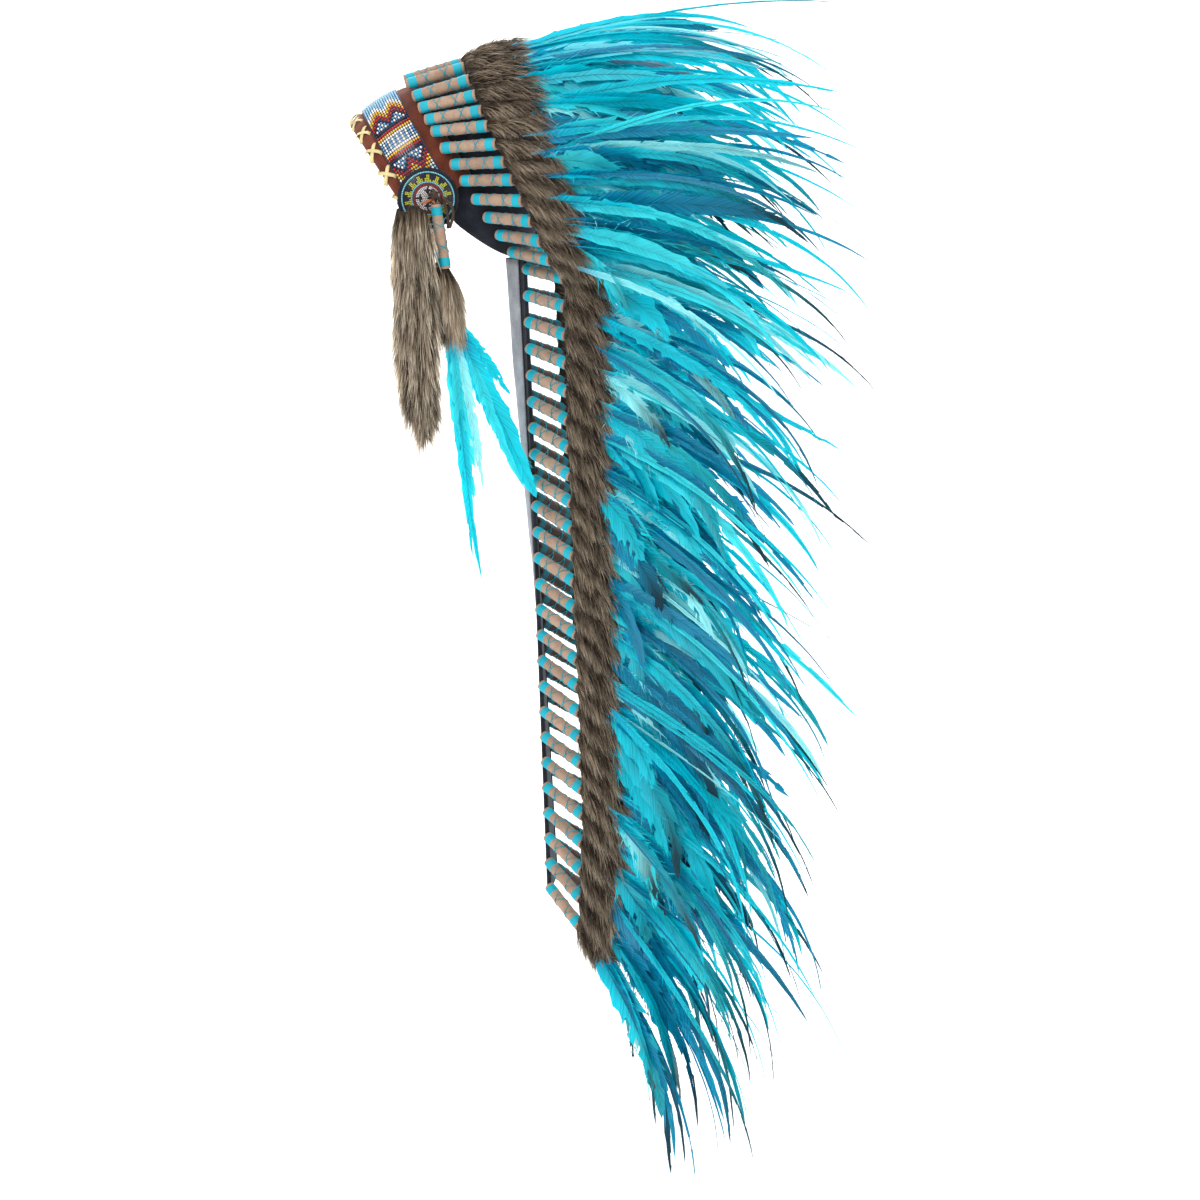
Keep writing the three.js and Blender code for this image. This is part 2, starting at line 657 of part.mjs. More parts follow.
function thongEnd({ out, path }, sign) {
  const { y, z } = rosetteCentre(sign);
  const start = vec(sign * out, y + TIE.endsBack, z + 1);
  const places = path.map(([back, down]) => start.clone().add(vec(0, back, -down)));
  const curve = new THREE.CatmullRomCurve3(places);
  const section = new THREE.Shape().absarc(0, 0, LACE.diameter / 2, 0, 2 * Math.PI);
  return new THREE.ExtrudeGeometry(section, {
    steps: LACE.steps, extrudePath: curve, curveSegments: LACE.sides / 2, bevelEnabled: false,
  });
}

for (const { name, sign } of SIDES) {
  const tail = fuse(TAIL_LOCKS.map((lock) => tailLock(lock, sign)));
  addPiece(group, `fur_tail_${name}`, tail, MATERIALS.fur);
  addPiece(group, `drop_wrap_${name}`, dropWrap(sign), MATERIALS.wrap);
  addPiece(group, `drop_fur_${name}`, dropFur(sign), MATERIALS.fur);
  addPiece(group, `drop_plume_${name}`, dropPlume(sign), MATERIALS.feather);
  addPiece(group, `thong_${name}`, thong(sign), MATERIALS.thong);
  THONG_ENDS.forEach((end, i) => {
    addPiece(group, `thong_end_${name}_${i + 1}`, thongEnd(end, sign), MATERIALS.thong);
  });
}

export default group;
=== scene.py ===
import math

import bpy
import numpy as np
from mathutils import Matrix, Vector


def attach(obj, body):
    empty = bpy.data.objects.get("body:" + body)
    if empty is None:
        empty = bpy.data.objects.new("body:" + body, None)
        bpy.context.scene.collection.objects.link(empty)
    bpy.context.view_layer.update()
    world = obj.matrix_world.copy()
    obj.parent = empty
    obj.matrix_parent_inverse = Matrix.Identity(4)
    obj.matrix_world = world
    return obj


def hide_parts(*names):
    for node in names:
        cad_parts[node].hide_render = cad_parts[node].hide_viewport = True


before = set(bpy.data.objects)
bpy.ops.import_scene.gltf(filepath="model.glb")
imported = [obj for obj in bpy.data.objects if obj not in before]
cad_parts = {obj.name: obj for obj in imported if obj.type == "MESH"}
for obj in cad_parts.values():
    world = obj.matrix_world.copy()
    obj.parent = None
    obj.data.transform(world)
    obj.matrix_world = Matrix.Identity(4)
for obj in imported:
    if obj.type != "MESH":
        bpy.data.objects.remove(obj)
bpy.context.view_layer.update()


def added(name, data):
    """A new object in the scene."""
    thing = bpy.data.objects.new(name, data)
    bpy.context.scene.collection.objects.link(thing)
    return thing


# ---- camera ----

AZIMUTH, ELEVATION, DISTANCE = math.radians(85.75), math.radians(8.59), 3.0
TARGET = Vector((0, 0.161, -0.411))
away = Vector((math.sin(AZIMUTH) * math.cos(ELEVATION), -math.cos(AZIMUTH) * math.cos(ELEVATION),
               math.sin(ELEVATION)))
camera_data = bpy.data.cameras.new("camera")
camera_data.lens = 88.2
camera_data.sensor_width = 36
camera_data.clip_end = 60
camera = added("camera", camera_data)
camera.location = TARGET + away * DISTANCE
camera.rotation_euler = away.to_track_quat("Z", "Y").to_euler()
bpy.context.scene.camera = camera

MM = 0.001
rng = np.random.default_rng(7079)


# ---- small mesh kit ----

def unit(v):
    v = np.asarray(v, float)
    return v / np.maximum(np.linalg.norm(v, axis=-1, keepdims=True), 1e-12)


def turned(v, axis, angle):
    """v turned about a unit axis by an angle, which may be an array."""
    v, axis = np.broadcast_arrays(np.asarray(v, float), np.asarray(axis, float))
    c, s = np.cos(angle), np.sin(angle)
    if np.ndim(angle):
        c, s = c[..., None], s[..., None]
    dot = (v * axis).sum(-1, keepdims=True)
    return v * c + np.cross(axis, v) * s + axis * dot * (1 - c)


def read_off(at, places, values):
    """Rows of values that lie at places, read off at other places between them."""
    return np.stack([np.interp(at, places, column) for column in values.T], 1)


def arc_length(line):
    """Distance along a line, at each of its points."""
    return np.concatenate([[0], np.cumsum(np.linalg.norm(np.diff(line, axis=0), axis=1))])


def srgb(code):
    value = np.array([int(code[i:i + 2], 16) / 255 for i in (1, 3, 5)])
    return np.where(value <= 0.04045, value / 12.92, ((value + 0.055) / 1.055) ** 2.4)


def quads_between(rows, corners, closed):
    """The quads between rows of points, numbered row by row. closed joins each row's end to its start."""
    i, j = np.meshgrid(np.arange(rows - 1), np.arange(corners if closed else corners - 1), indexing="ij")
    a, b = i * corners + j, i * corners + (j + 1) % corners
    return np.stack([a, b, b + corners, a + corners], -1).reshape(-1, 4)


def fans(corners, last, middles):
    """Triangles that close the row at 0 and the row at last, with their middle points at middles."""
    k = np.arange(corners)
    after = (k + 1) % corners
    return np.concatenate([np.stack([np.full(corners, middles), after, k], -1),
                           np.stack([np.full(corners, middles + 1), last + k, last + after], -1)])


class Build:
    """Collects vertices, faces, a colour per vertex and a material per face, in millimetres."""

    def __init__(self):
        self.points, self.colours, self.barbs, self.quads, self.tris, self.count = [], [], [], [], [], 0

    def add(self, points, quads=(), tris=(), colour=(1, 1, 1), mat=0, barb=0.0):
        points = np.asarray(points, float).reshape(-1, 3)
        self.barbs.append(np.broadcast_to(np.asarray(barb, float).ravel(), (len(points),)))
        colour = np.broadcast_to(np.asarray(colour, float).reshape(-1, 3), points.shape)
        self.points.append(points)
        self.colours.append(colour)
        for faces, store, sides in ((quads, self.quads, 4), (tris, self.tris, 3)):
            faces = np.asarray(faces, int).reshape(-1, sides)
            if len(faces):
                store.append((faces + self.count, np.full(len(faces), mat)))
        self.count += len(points)

    def grid(self, rows, colour=(1, 1, 1), mat=0, closed=False, caps=False):
        """Surface through rows of equal length."""
        rows = np.asarray(rows, float)
        n, m = rows.shape[:2]
        colour = np.asarray(colour, float)
        if colour.ndim == 2 and len(colour) == n:
            colour = np.repeat(colour, m, 0)
        points, tris = rows.reshape(-1, 3), []
        if caps:
            ends = np.stack([rows[0].mean(0), rows[-1].mean(0)])
            points = np.concatenate([points, ends])
            if colour.ndim == 2:
                colour = np.concatenate([colour, colour[:1], colour[-1:]])
            tris = fans(m, (n - 1) * m, n * m)
        self.add(points, quads_between(n, m, closed), tris, colour, mat)

    def tube(self, path, radius, sides=6, colour=(1, 1, 1), mat=0, caps=True, flat=1.0, up=(0, 0, 1)):
        """Tube along a path. flat is its thickness as a share of its width."""
        path = np.asarray(path, float)
        tangent = unit(np.gradient(path, axis=0))
        side = np.cross(tangent, np.broadcast_to(np.asarray(up, float), tangent.shape))
        weak = np.linalg.norm(side, axis=1) < 0.15
        side[weak] = np.cross(tangent[weak], (1.0, 0.2, 0.0))
        side = unit(side)
        over = np.cross(side, tangent)
        angle = 2 * np.pi * np.arange(sides) / sides
        radius = np.broadcast_to(np.asarray(radius, float), (len(path),))[:, None, None]
        rows = path[:, None] + radius * (np.cos(angle)[None, :, None] * side[:, None]
                                         + flat * np.sin(angle)[None, :, None] * over[:, None])
        self.grid(rows, colour, mat, closed=True, caps=caps)

    def object(self, name, materials, replaces=()):
        mesh = bpy.data.meshes.new(name)
        points = np.concatenate(self.points) * MM
        faces, mats = [], []
        for store, sides in ((self.quads, 4), (self.tris, 3)):
            if store:
                faces.append((np.concatenate([f for f, _ in store]), sides))
                mats.append(np.concatenate([m for _, m in store]))
        total = sum(len(f) for f, _ in faces)
        loops = np.concatenate([f.ravel() for f, _ in faces])
        sizes = np.concatenate([np.full(len(f), sides) for f, sides in faces])
        mesh.vertices.add(len(points))
        mesh.vertices.foreach_set("co", points.ravel())
        mesh.loops.add(len(loops))
        mesh.loops.foreach_set("vertex_index", loops.astype(np.int32))
        mesh.polygons.add(total)
        mesh.polygons.foreach_set("loop_start", np.concatenate([[0], np.cumsum(sizes)[:-1]]).astype(np.int32))
        mesh.polygons.foreach_set("material_index", np.concatenate(mats).astype(np.int32))
        mesh.polygons.foreach_set("use_smooth", np.full(total, True))
        for material in materials:
            mesh.materials.append(material)
        mesh.update(calc_edges=True)
        mesh.validate()
        colour = mesh.color_attributes.new("tint", "FLOAT_COLOR", "POINT")
        rgba = np.ones((len(points), 4), np.float32)
        rgba[:, :3] = np.concatenate(self.colours)
        colour.data.foreach_set("color", rgba.ravel())
        barb = mesh.attributes.new("barb", "FLOAT", "POINT")
        barb.data.foreach_set("value", np.concatenate(self.barbs).astype(np.float32))
        piece = added(name, mesh)
        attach(piece, "root")
        if replaces:
            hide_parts(*replaces)
        return piece


# ---- materials ----

class Look:
    """A material and a short way to wire its nodes."""

    def __init__(self, name, roughness, specular=0.5, sheen=0.0):
        self.material = bpy.data.materials.new(name)
        self.material.use_nodes = True
        self.tree = self.material.node_tree
        self.bsdf = self.tree.nodes["Principled BSDF"]
        self.out = self.tree.nodes["Material Output"]
        self.put(("Roughness", roughness), ("Specular IOR Level", specular), ("Sheen Weight", sheen))

    def put(self, *values):
        for socket, value in values:
            self.bsdf.inputs[socket].default_value = value

    def node(self, kind, values=(), **settings):
        node = self.tree.nodes.new(kind)
        for key, value in settings.items():
            setattr(node, key, value)
        for key, value in dict(values).items():
            if isinstance(value, bpy.types.NodeSocket):
                self.tree.links.new(value, node.inputs[key])
            else:
                node.inputs[key].default_value = value
        return node

    def link(self, socket, target):
        self.tree.links.new(socket, self.bsdf.inputs[target])

    def noise(self, scale, detail=3.0, stretch=(1, 1, 1)):
        place = self.node("ShaderNodeTexCoord").outputs["Object"]
        stretched = self.node("ShaderNodeMapping", {"Vector": place, "Scale": stretch}).outputs[0]
        return self.node("ShaderNodeTexNoise",
                         {"Vector": stretched, "Scale": scale, "Detail": detail}).outputs["Fac"]

    def ramp(self, fac, *stops):
        ramp = self.node("ShaderNodeValToRGB", {"Fac": fac})
        elements = ramp.color_ramp.elements
        while len(elements) < len(stops):
            elements.new(0.5)
        for element, (at, colour) in zip(elements, stops):
            element.position = at
            element.color = (*srgb(colour), 1) if isinstance(colour, str) else (colour, colour, colour, 1)
        return ramp.outputs["Color"]

    def mix(self, fac, a, b, how):
        return self.node("ShaderNodeMix", {0: fac, 6: a, 7: b}, data_type="RGBA", blend_type=how).outputs[2]

    def cover(self, colour, grain, share, *stops):
        """Base colour: the colour with a share of the grain laid over it."""
        colour = self.mix(share, colour, self.ramp(grain, *stops), "OVERLAY")
        self.link(colour, "Base Color")
        return colour

    def tint(self):
        return self.node("ShaderNodeAttribute", attribute_name="tint").outputs["Color"]

    def bump(self, height, strength, distance):
        bump = self.node("ShaderNodeBump", {"Height": height, "Strength": strength, "Distance": distance})
        self.link(bump.outputs[0], "Normal")
        return bump.outputs[0]

    def let_light_through(self, colour, normal, share):
        """Mixes a share of translucent shading into the surface."""
        back = self.node("ShaderNodeBsdfTranslucent", {"Color": colour, "Normal": normal}).outputs[0]
        both = self.node("ShaderNodeMixShader", {0: share, 1: self.bsdf.outputs[0], 2: back}).outputs[0]
        self.tree.links.new(both, self.out.inputs["Surface"])


def suede_look():
    look = Look("suede", 0.95, 0.15, 0.35)
    nap = look.noise(900, 4)
    cloud = look.noise(45, 3)
    colour = look.ramp(cloud, (0.3, "#4E2416"), (0.55, "#6B3322"), (0.8, "#7C4230"))
    look.cover(colour, nap, 0.35, (0.3, 0.25), (0.7, 0.9))
    look.bump(nap, 0.5, 0.0006)
    return look.material


def felt_look(name, dark, mid, light):
    look = Look(name, 1.0, 0.1, 0.25)
    fibre = look.noise(1400, 5, (1, 1, 0.35))
    cloud = look.noise(60, 4)
    colour = look.ramp(cloud, (0.3, dark), (0.55, mid), (0.8, light))
    look.cover(colour, fibre, 0.3, (0.3, 0.2), (0.7, 0.85))
    look.bump(fibre, 0.6, 0.0005)
    return look.material


def leather_look():
    look = Look("wrap_leather", 0.72, 0.3, 0.1)
    grain = look.noise(700, 5)
    cloud = look.noise(120, 4)
    colour = look.mix(1.0, look.tint(), look.ramp(cloud, (0.25, 0.72), (0.55, 0.95), (0.8, 1.0)), "MULTIPLY")
    look.cover(colour, grain, 0.25, (0.3, 0.3), (0.7, 0.8))
    look.bump(grain, 0.45, 0.0004)
    return look.material


def tinted_look(name, roughness, specular, scale, strength, sheen=0.0):
    """Colour from the mesh's own tint, with a fine uneven surface."""
    look = Look(name, roughness, specular, sheen)
    grain = look.noise(scale, 3)
    look.cover(look.tint(), grain, 0.2, (0.3, 0.3), (0.7, 0.75))
    look.bump(grain, strength, 0.0003)
    return look.material


def through_look(name, share, roughness, scale, stretch):
    """Thin stuff that lets light through, tinted by the mesh, with fine streaks."""
    look = Look(name, roughness, 0.25)
    streak = look.noise(scale, 3, stretch)
    colour = look.cover(look.tint(), streak, 0.3, (0.3, 0.25), (0.7, 0.8))
    look.let_light_through(colour, look.bump(streak, 0.3, 0.0004), share)
    return look.material


def feather_look():
    """Thin vanes: the mesh's own tint, ruled with barb streaks by the mesh's barb coordinate. The streaks are
    partly the barbs' own tone and partly painted shade between barbs.
    """
    look = Look("feather", 0.42, 0.35)
    barb = look.node("ShaderNodeAttribute", attribute_name="barb").outputs["Fac"]
    place = look.node("ShaderNodeCombineXYZ", {"X": barb}).outputs[0]
    barb_streaks_and_shade = look.node("ShaderNodeTexNoise", {"Vector": place, "Scale": 0.42, "Detail": 4.0}).outputs["Fac"]
    # Barb streaks: partly the barbs' own tone, partly painted shade between barbs.
    colour = look.cover(look.tint(), barb_streaks_and_shade, 0.70, (0.36, 0.16), (0.5, 0.50), (0.64, 0.82))
    look.let_light_through(colour, look.bump(barb_streaks_and_shade, 0.35, 0.0005), 0.38)
    return look.material


SUEDE = suede_look()
BLACK_FELT = felt_look("black_felt", "#16181E", "#23262E", "#30333C")
GREY_FELT = felt_look("grey_felt", "#83868E", "#9A9DA4", "#AEB1B7")
LEATHER = leather_look()
THREAD = tinted_look("thread", 0.55, 0.4, 2500, 0.3)
BEAD = tinted_look("seed_bead", 0.22, 0.55, 600, 0.05)
LACE = tinted_look("lace", 0.8, 0.25, 900, 0.4)
RAFFIA = tinted_look("raffia", 0.7, 0.3, 1500, 0.5)
FEATHER = feather_look()
FUR = through_look("fur", 0.12, 0.6, 300, (1, 1, 0.3))
HIDE = tinted_look("hide", 0.95, 0.1, 500, 0.5, 0.2)


# ---- shape of the frame, as the CAD has it (millimetres) ----

HEAD_TILT = math.radians(57.3)
PLAN_BACK, PLAN_SIDE = 111.5, 74.0
LEAN, LEAN_OVER, SADDLE = 6.5, 37.0, 7.5
ROSETTE = (76.0, -3.5, -12.0)  # middle of the left rosette's back


def head(points):
    x, y, z = np.moveaxis(np.asarray(points, float), -1, 0)
    c, s = math.cos(HEAD_TILT), math.sin(HEAD_TILT)
    return np.stack([x, y * c + z * s, -y * s + z * c], -1)


def plan(around, front, back, side, up):
    """Points of the egg-shaped plan. around is the angle from the forehead."""
    around, front, back, side, up = np.broadcast_arrays(around, front, back, side, up)
    ahead = np.cos(around) > 0
    power = np.where(ahead, 2.0, 2.5)
    across = np.sign(np.sin(around)) * np.abs(np.sin(around)) ** (2 / power)
    along = -np.sign(np.cos(around)) * np.abs(np.cos(around)) ** (2 / power)
    return np.stack([side * across, np.where(ahead, front, back) * along, up], -1)


def plan_side(along):
    power = 2.0 if along < 0 else 2.5
    return PLAN_SIDE * (1 - abs(along / PLAN_BACK) ** power) ** (1 / power)


def band(around, up, out):
    """Points of the brow band, by angle, height and distance out from its face."""
    inset = LEAN * (np.asarray(up) / LEAN_OVER) ** 2
    return head(plan(around, PLAN_BACK - inset + out, PLAN_BACK - inset + out, PLAN_SIDE - inset + out, up))


def saddle(around):
    return -SADDLE * np.sin(around) ** 2


def heading(pitch, flare, sign):
    """Direction that points back, up by pitch and out by flare."""
    return np.stack(np.broadcast_arrays(sign * np.sin(flare), np.cos(flare) * np.cos(pitch),
                                        np.cos(flare) * np.sin(pitch)), -1)


CROWN = np.array([  # quill, along, pitch, flare, droop, plume
    (0, -111.5, 16, 0, 33, 292), (1, -106.5, 16, 6, 34, 298), (2, -93, 16, 16, 36, 300),
    (5, -55, 5.5, 24.5, 32, 300), (8, 0, 1.5, 34, 34, 305), (12, 84, -10.5, 50, 33, 300)])
TRAILER = np.array([  # quill, pitch, flare, droop, plume
    (0, -12, 51, 33, 300), (5, -24, 47, 26, 300), (7, -27, 44, 26, 300), (20, -29, 38, 36, 285),
    (24, -43, 38, 30, 240)])
CROWN_UP = 32  # height of the crown quills' ends in front
WRAP, BASE_RADIUS, END_RADIUS = 60.0, 5.3, 5.9
T_TOP, T_BACK, T_RAKE, T_LENGTH, T_HALF, T_TWIST = -64.0, 83.4, 0.0443, 643.0, 37.0, math.radians(8)
T_BULGE, T_BULGE_END = 14.5, 360.0
T_FIRST, T_SPACING, T_QUILL_OUT = 9, 26.08, 4.7  # first quill's drop, quill to quill, out from the felt
T_LOWER = ((0, 10, 24), (0, 10, 5))  # quill, and degrees by which the right row points lower there


class Quill:
    """A quill's end on the frame, its direction, and how the feathers on it hang."""

    def __init__(self, table, number, sign, base, turn=0.0, lower=0.0):
        pitch, flare, droop, plume = [np.interp(number, table[:, 0], table[:, i]) for i in (-4, -3, -2, -1)]
        self.number, self.sign, self.base, self.turn = number, sign, np.asarray(base, float), turn
        self.pitch, self.flare, self.droop = np.radians([pitch - lower, flare, droop])
        self.plume = plume
        self.direction = self.toward(self.pitch, self.flare)

    def toward(self, pitch, flare):
        return turned(heading(pitch, flare, self.sign), (0, 0, 1), self.turn)

    def at(self, distance, across=0.0, lift=0.0):
        distance, across, lift = [np.asarray(v, float)[..., None] for v in (distance, across, lift)]
        return self.base + distance * self.direction + across * self.across + lift * self.normal


def crown_quill(number, sign):
    along = np.interp(number, CROWN[:, 0], CROWN[:, 1])
    side = plan_side(along)
    return Quill(CROWN, number, sign, head((sign * side, along, CROWN_UP - SADDLE * (side / PLAN_SIDE) ** 2)))


def trailer_turn(drop):
    return -T_TWIST * np.asarray(drop) / T_LENGTH


def trailer_point(x, behind, drop):
    """Points of the trailer, by distance across, behind its face and below its top."""
    x, behind, drop = np.broadcast_arrays(np.asarray(x, float), behind, drop)
    flat = turned(np.stack([x, behind, 0 * x], -1), (0, 0, 1), trailer_turn(drop))
    return flat + np.stack([0 * x, T_BACK + T_RAKE * drop, T_TOP - drop], -1)


def trailer_quill(number, sign):
    drop = T_FIRST + number * T_SPACING
    lower = np.interp(number, *T_LOWER) if sign < 0 else 0.0
    base = trailer_point(sign * (T_HALF + T_QUILL_OUT), 0, drop)
    return Quill(TRAILER, number, sign, base, float(trailer_turn(drop)), lower)


def framed(row):
    """Gives each quill of a row the direction along the row and the one square to it."""
    for i, quill in enumerate(row):
        span = row[min(i + 1, len(row) - 1)].base - row[max(i - 1, 0)].base
        quill.across = unit(span - span.dot(quill.direction) * quill.direction)
        quill.normal = np.cross(quill.direction, quill.across)
    return row


SIDES = (("left", 1), ("right", -1))
crown_row = framed([crown_quill(n, -1) for n in range(12, 0, -1)] + [crown_quill(n, 1) for n in range(13)])
trailer_rows = {name: framed([trailer_quill(n, sign) for n in range(25)]) for name, sign in SIDES}


# ---- wrapped quills ----

TAN, TAN_DARK, CYAN = srgb("#AE917C"), srgb("#33251D"), srgb("#12C4DC")
BINDING_TURNS, MARGIN = 8, 11  # turns of thread in a binding; where the crossing threads begin


def frame_of(direction):
    """Two unit directions square to a quill, for rings round it."""
    helper = np.array([0.0, 0.0, 1.0]) if abs(direction[2]) < 0.9 else np.array([0.0, 1.0, 0.0])
    side = unit(np.cross(direction, helper))
    return side, np.cross(side, direction)


def wrapped_shaft(build, start, direction, length=WRAP, r0=BASE_RADIUS, r1=END_RADIUS, sides=14, dark=None):
    """Leather tube with a thread binding near each end and two threads that cross between them.
    dark is the direction of the side painted in shade, where leather and thread go darker."""
    side, over = frame_of(direction)
    angle = 2 * np.pi * np.arange(sides) / sides
    out = np.cos(angle)[:, None] * side + np.sin(angle)[:, None] * over
    shade = rng.uniform(0.88, 1.08)
    # Painted shade: how far each side of the shaft turns to darker tones, most where it faces dark.
    shaded_side_share = np.zeros(sides) if dark is None else np.clip((out @ dark - 0.15) / 0.3, 0, 1)

    def rings(places, radii, tones, deep, mat, caps):
        """Rings round the shaft. On the side painted in shade, their tones go over to deep."""
        tones = tones[:, None] + (deep - tones[:, None]) * shaded_side_share[None, :, None]
        build.grid(start + places[:, None, None] * direction + radii[:, None, None] * out,
                   tones.reshape(-1, 3), mat, closed=True, caps=caps)

    radius = lambda s: np.interp(s, (0, length), (r0, r1))
    s = np.array([0.2, 0.2, 0.7, 2.4, 3.0, 8, 14, 20, length / 2, length - 20, length - 14, length - 8,
                  length - 3.0, length - 2.4, length - 0.7, length - 0.2, length - 0.2])
    swell = np.array([-3.4, -0.9, 0, 0, -0.7, -0.5, 0.15, -0.05, 0.1,
                      -0.05, 0.15, -0.5, -0.7, 0, 0, -0.9, -3.4])
    wobble = 1 + 0.012 * rng.standard_normal(len(s))
    tones = np.repeat(TAN[None] * shade, len(s), 0)
    tones[[0, -1]] = TAN_DARK
    # On the side painted in shade, the leather goes over to a darker tan.
    rings(s, (radius(s) + swell) * wobble, tones, TAN_DARK * rng.uniform(0.7, 1.3), 0, True)
    for begin in (2.8, length - 11.4):
        s = begin + np.linspace(0, 8.6, 2 * BINDING_TURNS + 1)
        on_ridge = np.arange(len(s)) % 2
        ridge = np.where(on_ridge, 0.42, 0.0)
        ridge[[0, -1]] = -0.7
        # Painted shade: the grooves between the thread's turns are darker than its ridges.
        tones = np.where(on_ridge[:, None], CYAN, CYAN * 0.6) * rng.uniform(0.9, 1.06)
        # CYAN * 0.18 is the thread's painted shade on the shaded side.
        rings(s, radius(s) + ridge, tones, CYAN * 0.18, 1, False)
    s = np.linspace(MARGIN, length - MARGIN, 33)
    wander = rng.uniform(-0.25, 0.25)
    for hand in (1, -1):
        turn = hand * (4 * np.pi * (s - MARGIN) / (length - 2 * MARGIN) - np.pi) + wander
        ring = np.cos(turn)[:, None] * side + np.sin(turn)[:, None] * over
        path = start + s[:, None] * direction + (radius(s) + 0.25)[:, None] * ring
        build.tube(path, 0.5, 3, CYAN * rng.uniform(0.55, 0.8), 1, caps=False)


for i, quill in enumerate(crown_row):
    number = abs(i - 12)
    name = "crown_wrap_centre" if number == 0 else f"crown_wrap_{'left' if i > 12 else 'right'}_{number:02d}"
    build = Build()
    wrapped_shaft(build, quill.base, quill.direction)
    build.object(name + "_bound", [LEATHER, THREAD], [name])

# ---- trailer: strip, lining, edge binding and its quills ----

drops = np.linspace(0, T_LENGTH, 90)
STRIP_CORNER = 9  # radius of the round corners


def strip_half(drop, half):
    """Half-width of the strip, which ends in round corners."""
    short = np.clip((drop - (T_LENGTH - STRIP_CORNER)) / STRIP_CORNER, 0, 1)
    return half - STRIP_CORNER * (1 - np.sqrt(1 - short ** 2 * 0.98))


def strip_rows(half, behind, ripple):
    """One face of the cloth, row by row from its top, bowed and a little wavy."""
    share = np.linspace(-1, 1, 17)
    x = strip_half(drops, half)[:, None] * share[None]
    fade = 1 - (np.minimum(drops / T_BULGE_END, 1) ** 1.4)[:, None]
    bow = -T_BULGE * fade * (1 - (x / T_HALF) ** 2)
    wave = ripple * (np.sin(drops[:, None] / 23 + 2.1 * share[None]) * 0.6
                     + np.sin(drops[:, None] / 9.5 + 4 * share[None]) * 0.25)
    return trailer_point(x, bow + behind + wave * (1 - share[None] ** 2), drops[:, None])


def cloth(name, half, near, far, look, node, ripple):
    front, back = strip_rows(half, near, ripple), strip_rows(half, far, ripple)
    rows = np.concatenate([front, back[:, ::-1]], 1)
    build = Build()
    build.grid(rows, closed=True, caps=True)
    piece = build.object(name, [look], [node])


cloth("trailer_strip_felt", T_HALF, 0.0, 1.4, BLACK_FELT, "trailer_strip", 0.5)
cloth("trailer_lining_felt", 31.0, -2.6, -1.4, GREY_FELT, "trailer_lining", 0.5)

for name, sign in SIDES:
    build = Build()
    for quill in trailer_rows[name]:
        # Painted shade on the side of each wrap that faces the strip's middle, between the two rows.
        wrapped_shaft(build, quill.base, quill.direction, sides=10, dark=np.array([-sign, 0.0, 0.0]))
    build.object(f"trailer_wraps_{name}_bound", [LEATHER, THREAD], [f"trailer_wraps_{name}"])
    build = Build()
    ripple = 0.5 * np.sin(drops / 12.8 * np.pi)
    corners = [(0.4, -2.0), (2.8, -2.3), (4.2, -1.0), (4.3, 1.2), (2.8, 2.4), (0.4, 2.4)]
    rows = np.stack([trailer_point(sign * (strip_half(drops, T_HALF) + x + 0.2 * ripple), y, drops)
                     for x, y in corners], 1)
    build.grid(rows, closed=True, caps=True)
    build.object(f"trailer_edge_{name}", [BLACK_FELT])

# ---- brow band, bead strip and skull cap ----

rows = []
BAND_REACH, STITCH_REACH, STRIP_REACH = np.radians([91, 82, 81.5])  # each side of the forehead
for around in np.linspace(-BAND_REACH, BAND_REACH, 110):
    fold_top = -23 + 0.7 * saddle(around)
    ripple = 0.35 * math.sin(around * 23)
    section = [(-36.2, -4.6), (-37, -3.6), (-37.2, -2.2), (-36.6, -1.2), (-34, -0.9 + ripple),
               (-29, -0.7 - ripple), (fold_top - 1.0, -0.9), (fold_top, -1.4), (fold_top + 0.5, -2.4),
               (-15, -2.6), (0, -2.6), (15, -2.6), (27, -2.6 + ripple), (34, -2.6), (36, -2.9),
               (36.2, -3.8), (35.5, -4.6), (20, -4.6), (0, -4.6), (-20, -4.6)]
    rows.append(band(around, *np.transpose(section)))
build = Build()
build.grid(rows, closed=True, caps=True)
build.object("brow_band_suede", [SUEDE], ["brow_band"])

# Cross stitches of raffia along the fold.
build = Build()
span = np.linspace(0, 1, 7)
STITCHES = 11
for around in np.linspace(-STITCH_REACH, STITCH_REACH, STITCHES):
    for slant in (1, -1):
        centre = -30.5 + 0.35 * saddle(around)
        up = centre + slant * 6.6 * (span - 0.5) * 2 + rng.uniform(-0.5, 0.5)
        turn = around + (span - 0.5) * 2 * rng.uniform(0.066, 0.078)
        out = -0.35 + 1.1 * np.sin(np.pi * span) + (0.5 if slant > 0 else 0)
        out[[0, -1]] = -1.6
        path = band(turn, up, out)
        outward = unit(band(around, centre, 5.0) - band(around, centre, 0.0))
        build.tube(path, 1.9 * np.array([0.8, 1, 1.05, 1, 1.05, 1, 1.25]), 6,
                   srgb("#E3D39A") * rng.uniform(0.85, 1.05), 0, flat=0.3, up=outward)
build.object("brow_band_stitches", [RAFFIA])

# Loomed beads. A motif is charted in rows from its middle block outwards.
BEAD_COLOURS = {name: srgb(code) for name, code in dict(
    blue="#5E9CCB", sky="#9CD0EE", white="#F6F4EF", yellow="#F0BE28", red="#B81C1A",
    black="#1B1B30", ring="#86DCEC", lime="#CFCB2C", dark="#9A3232", pale="#ECE9E6").items()}
PEAK = (0, 1, 2, 3, 3, 2, 1, 0, 1, 2, 3, 3, 2, 1, 0)  # height of the stepped triangles over each column
BLOCK = ("stripe", "stripe", "white", "yellow", "red", "black")
EDGE = ("black", "red", "red", "yellow", "yellow", "white", "white")
SIDE_MOTIF_ROW = 23  # rows from the forehead's middle to the middle of each side motif


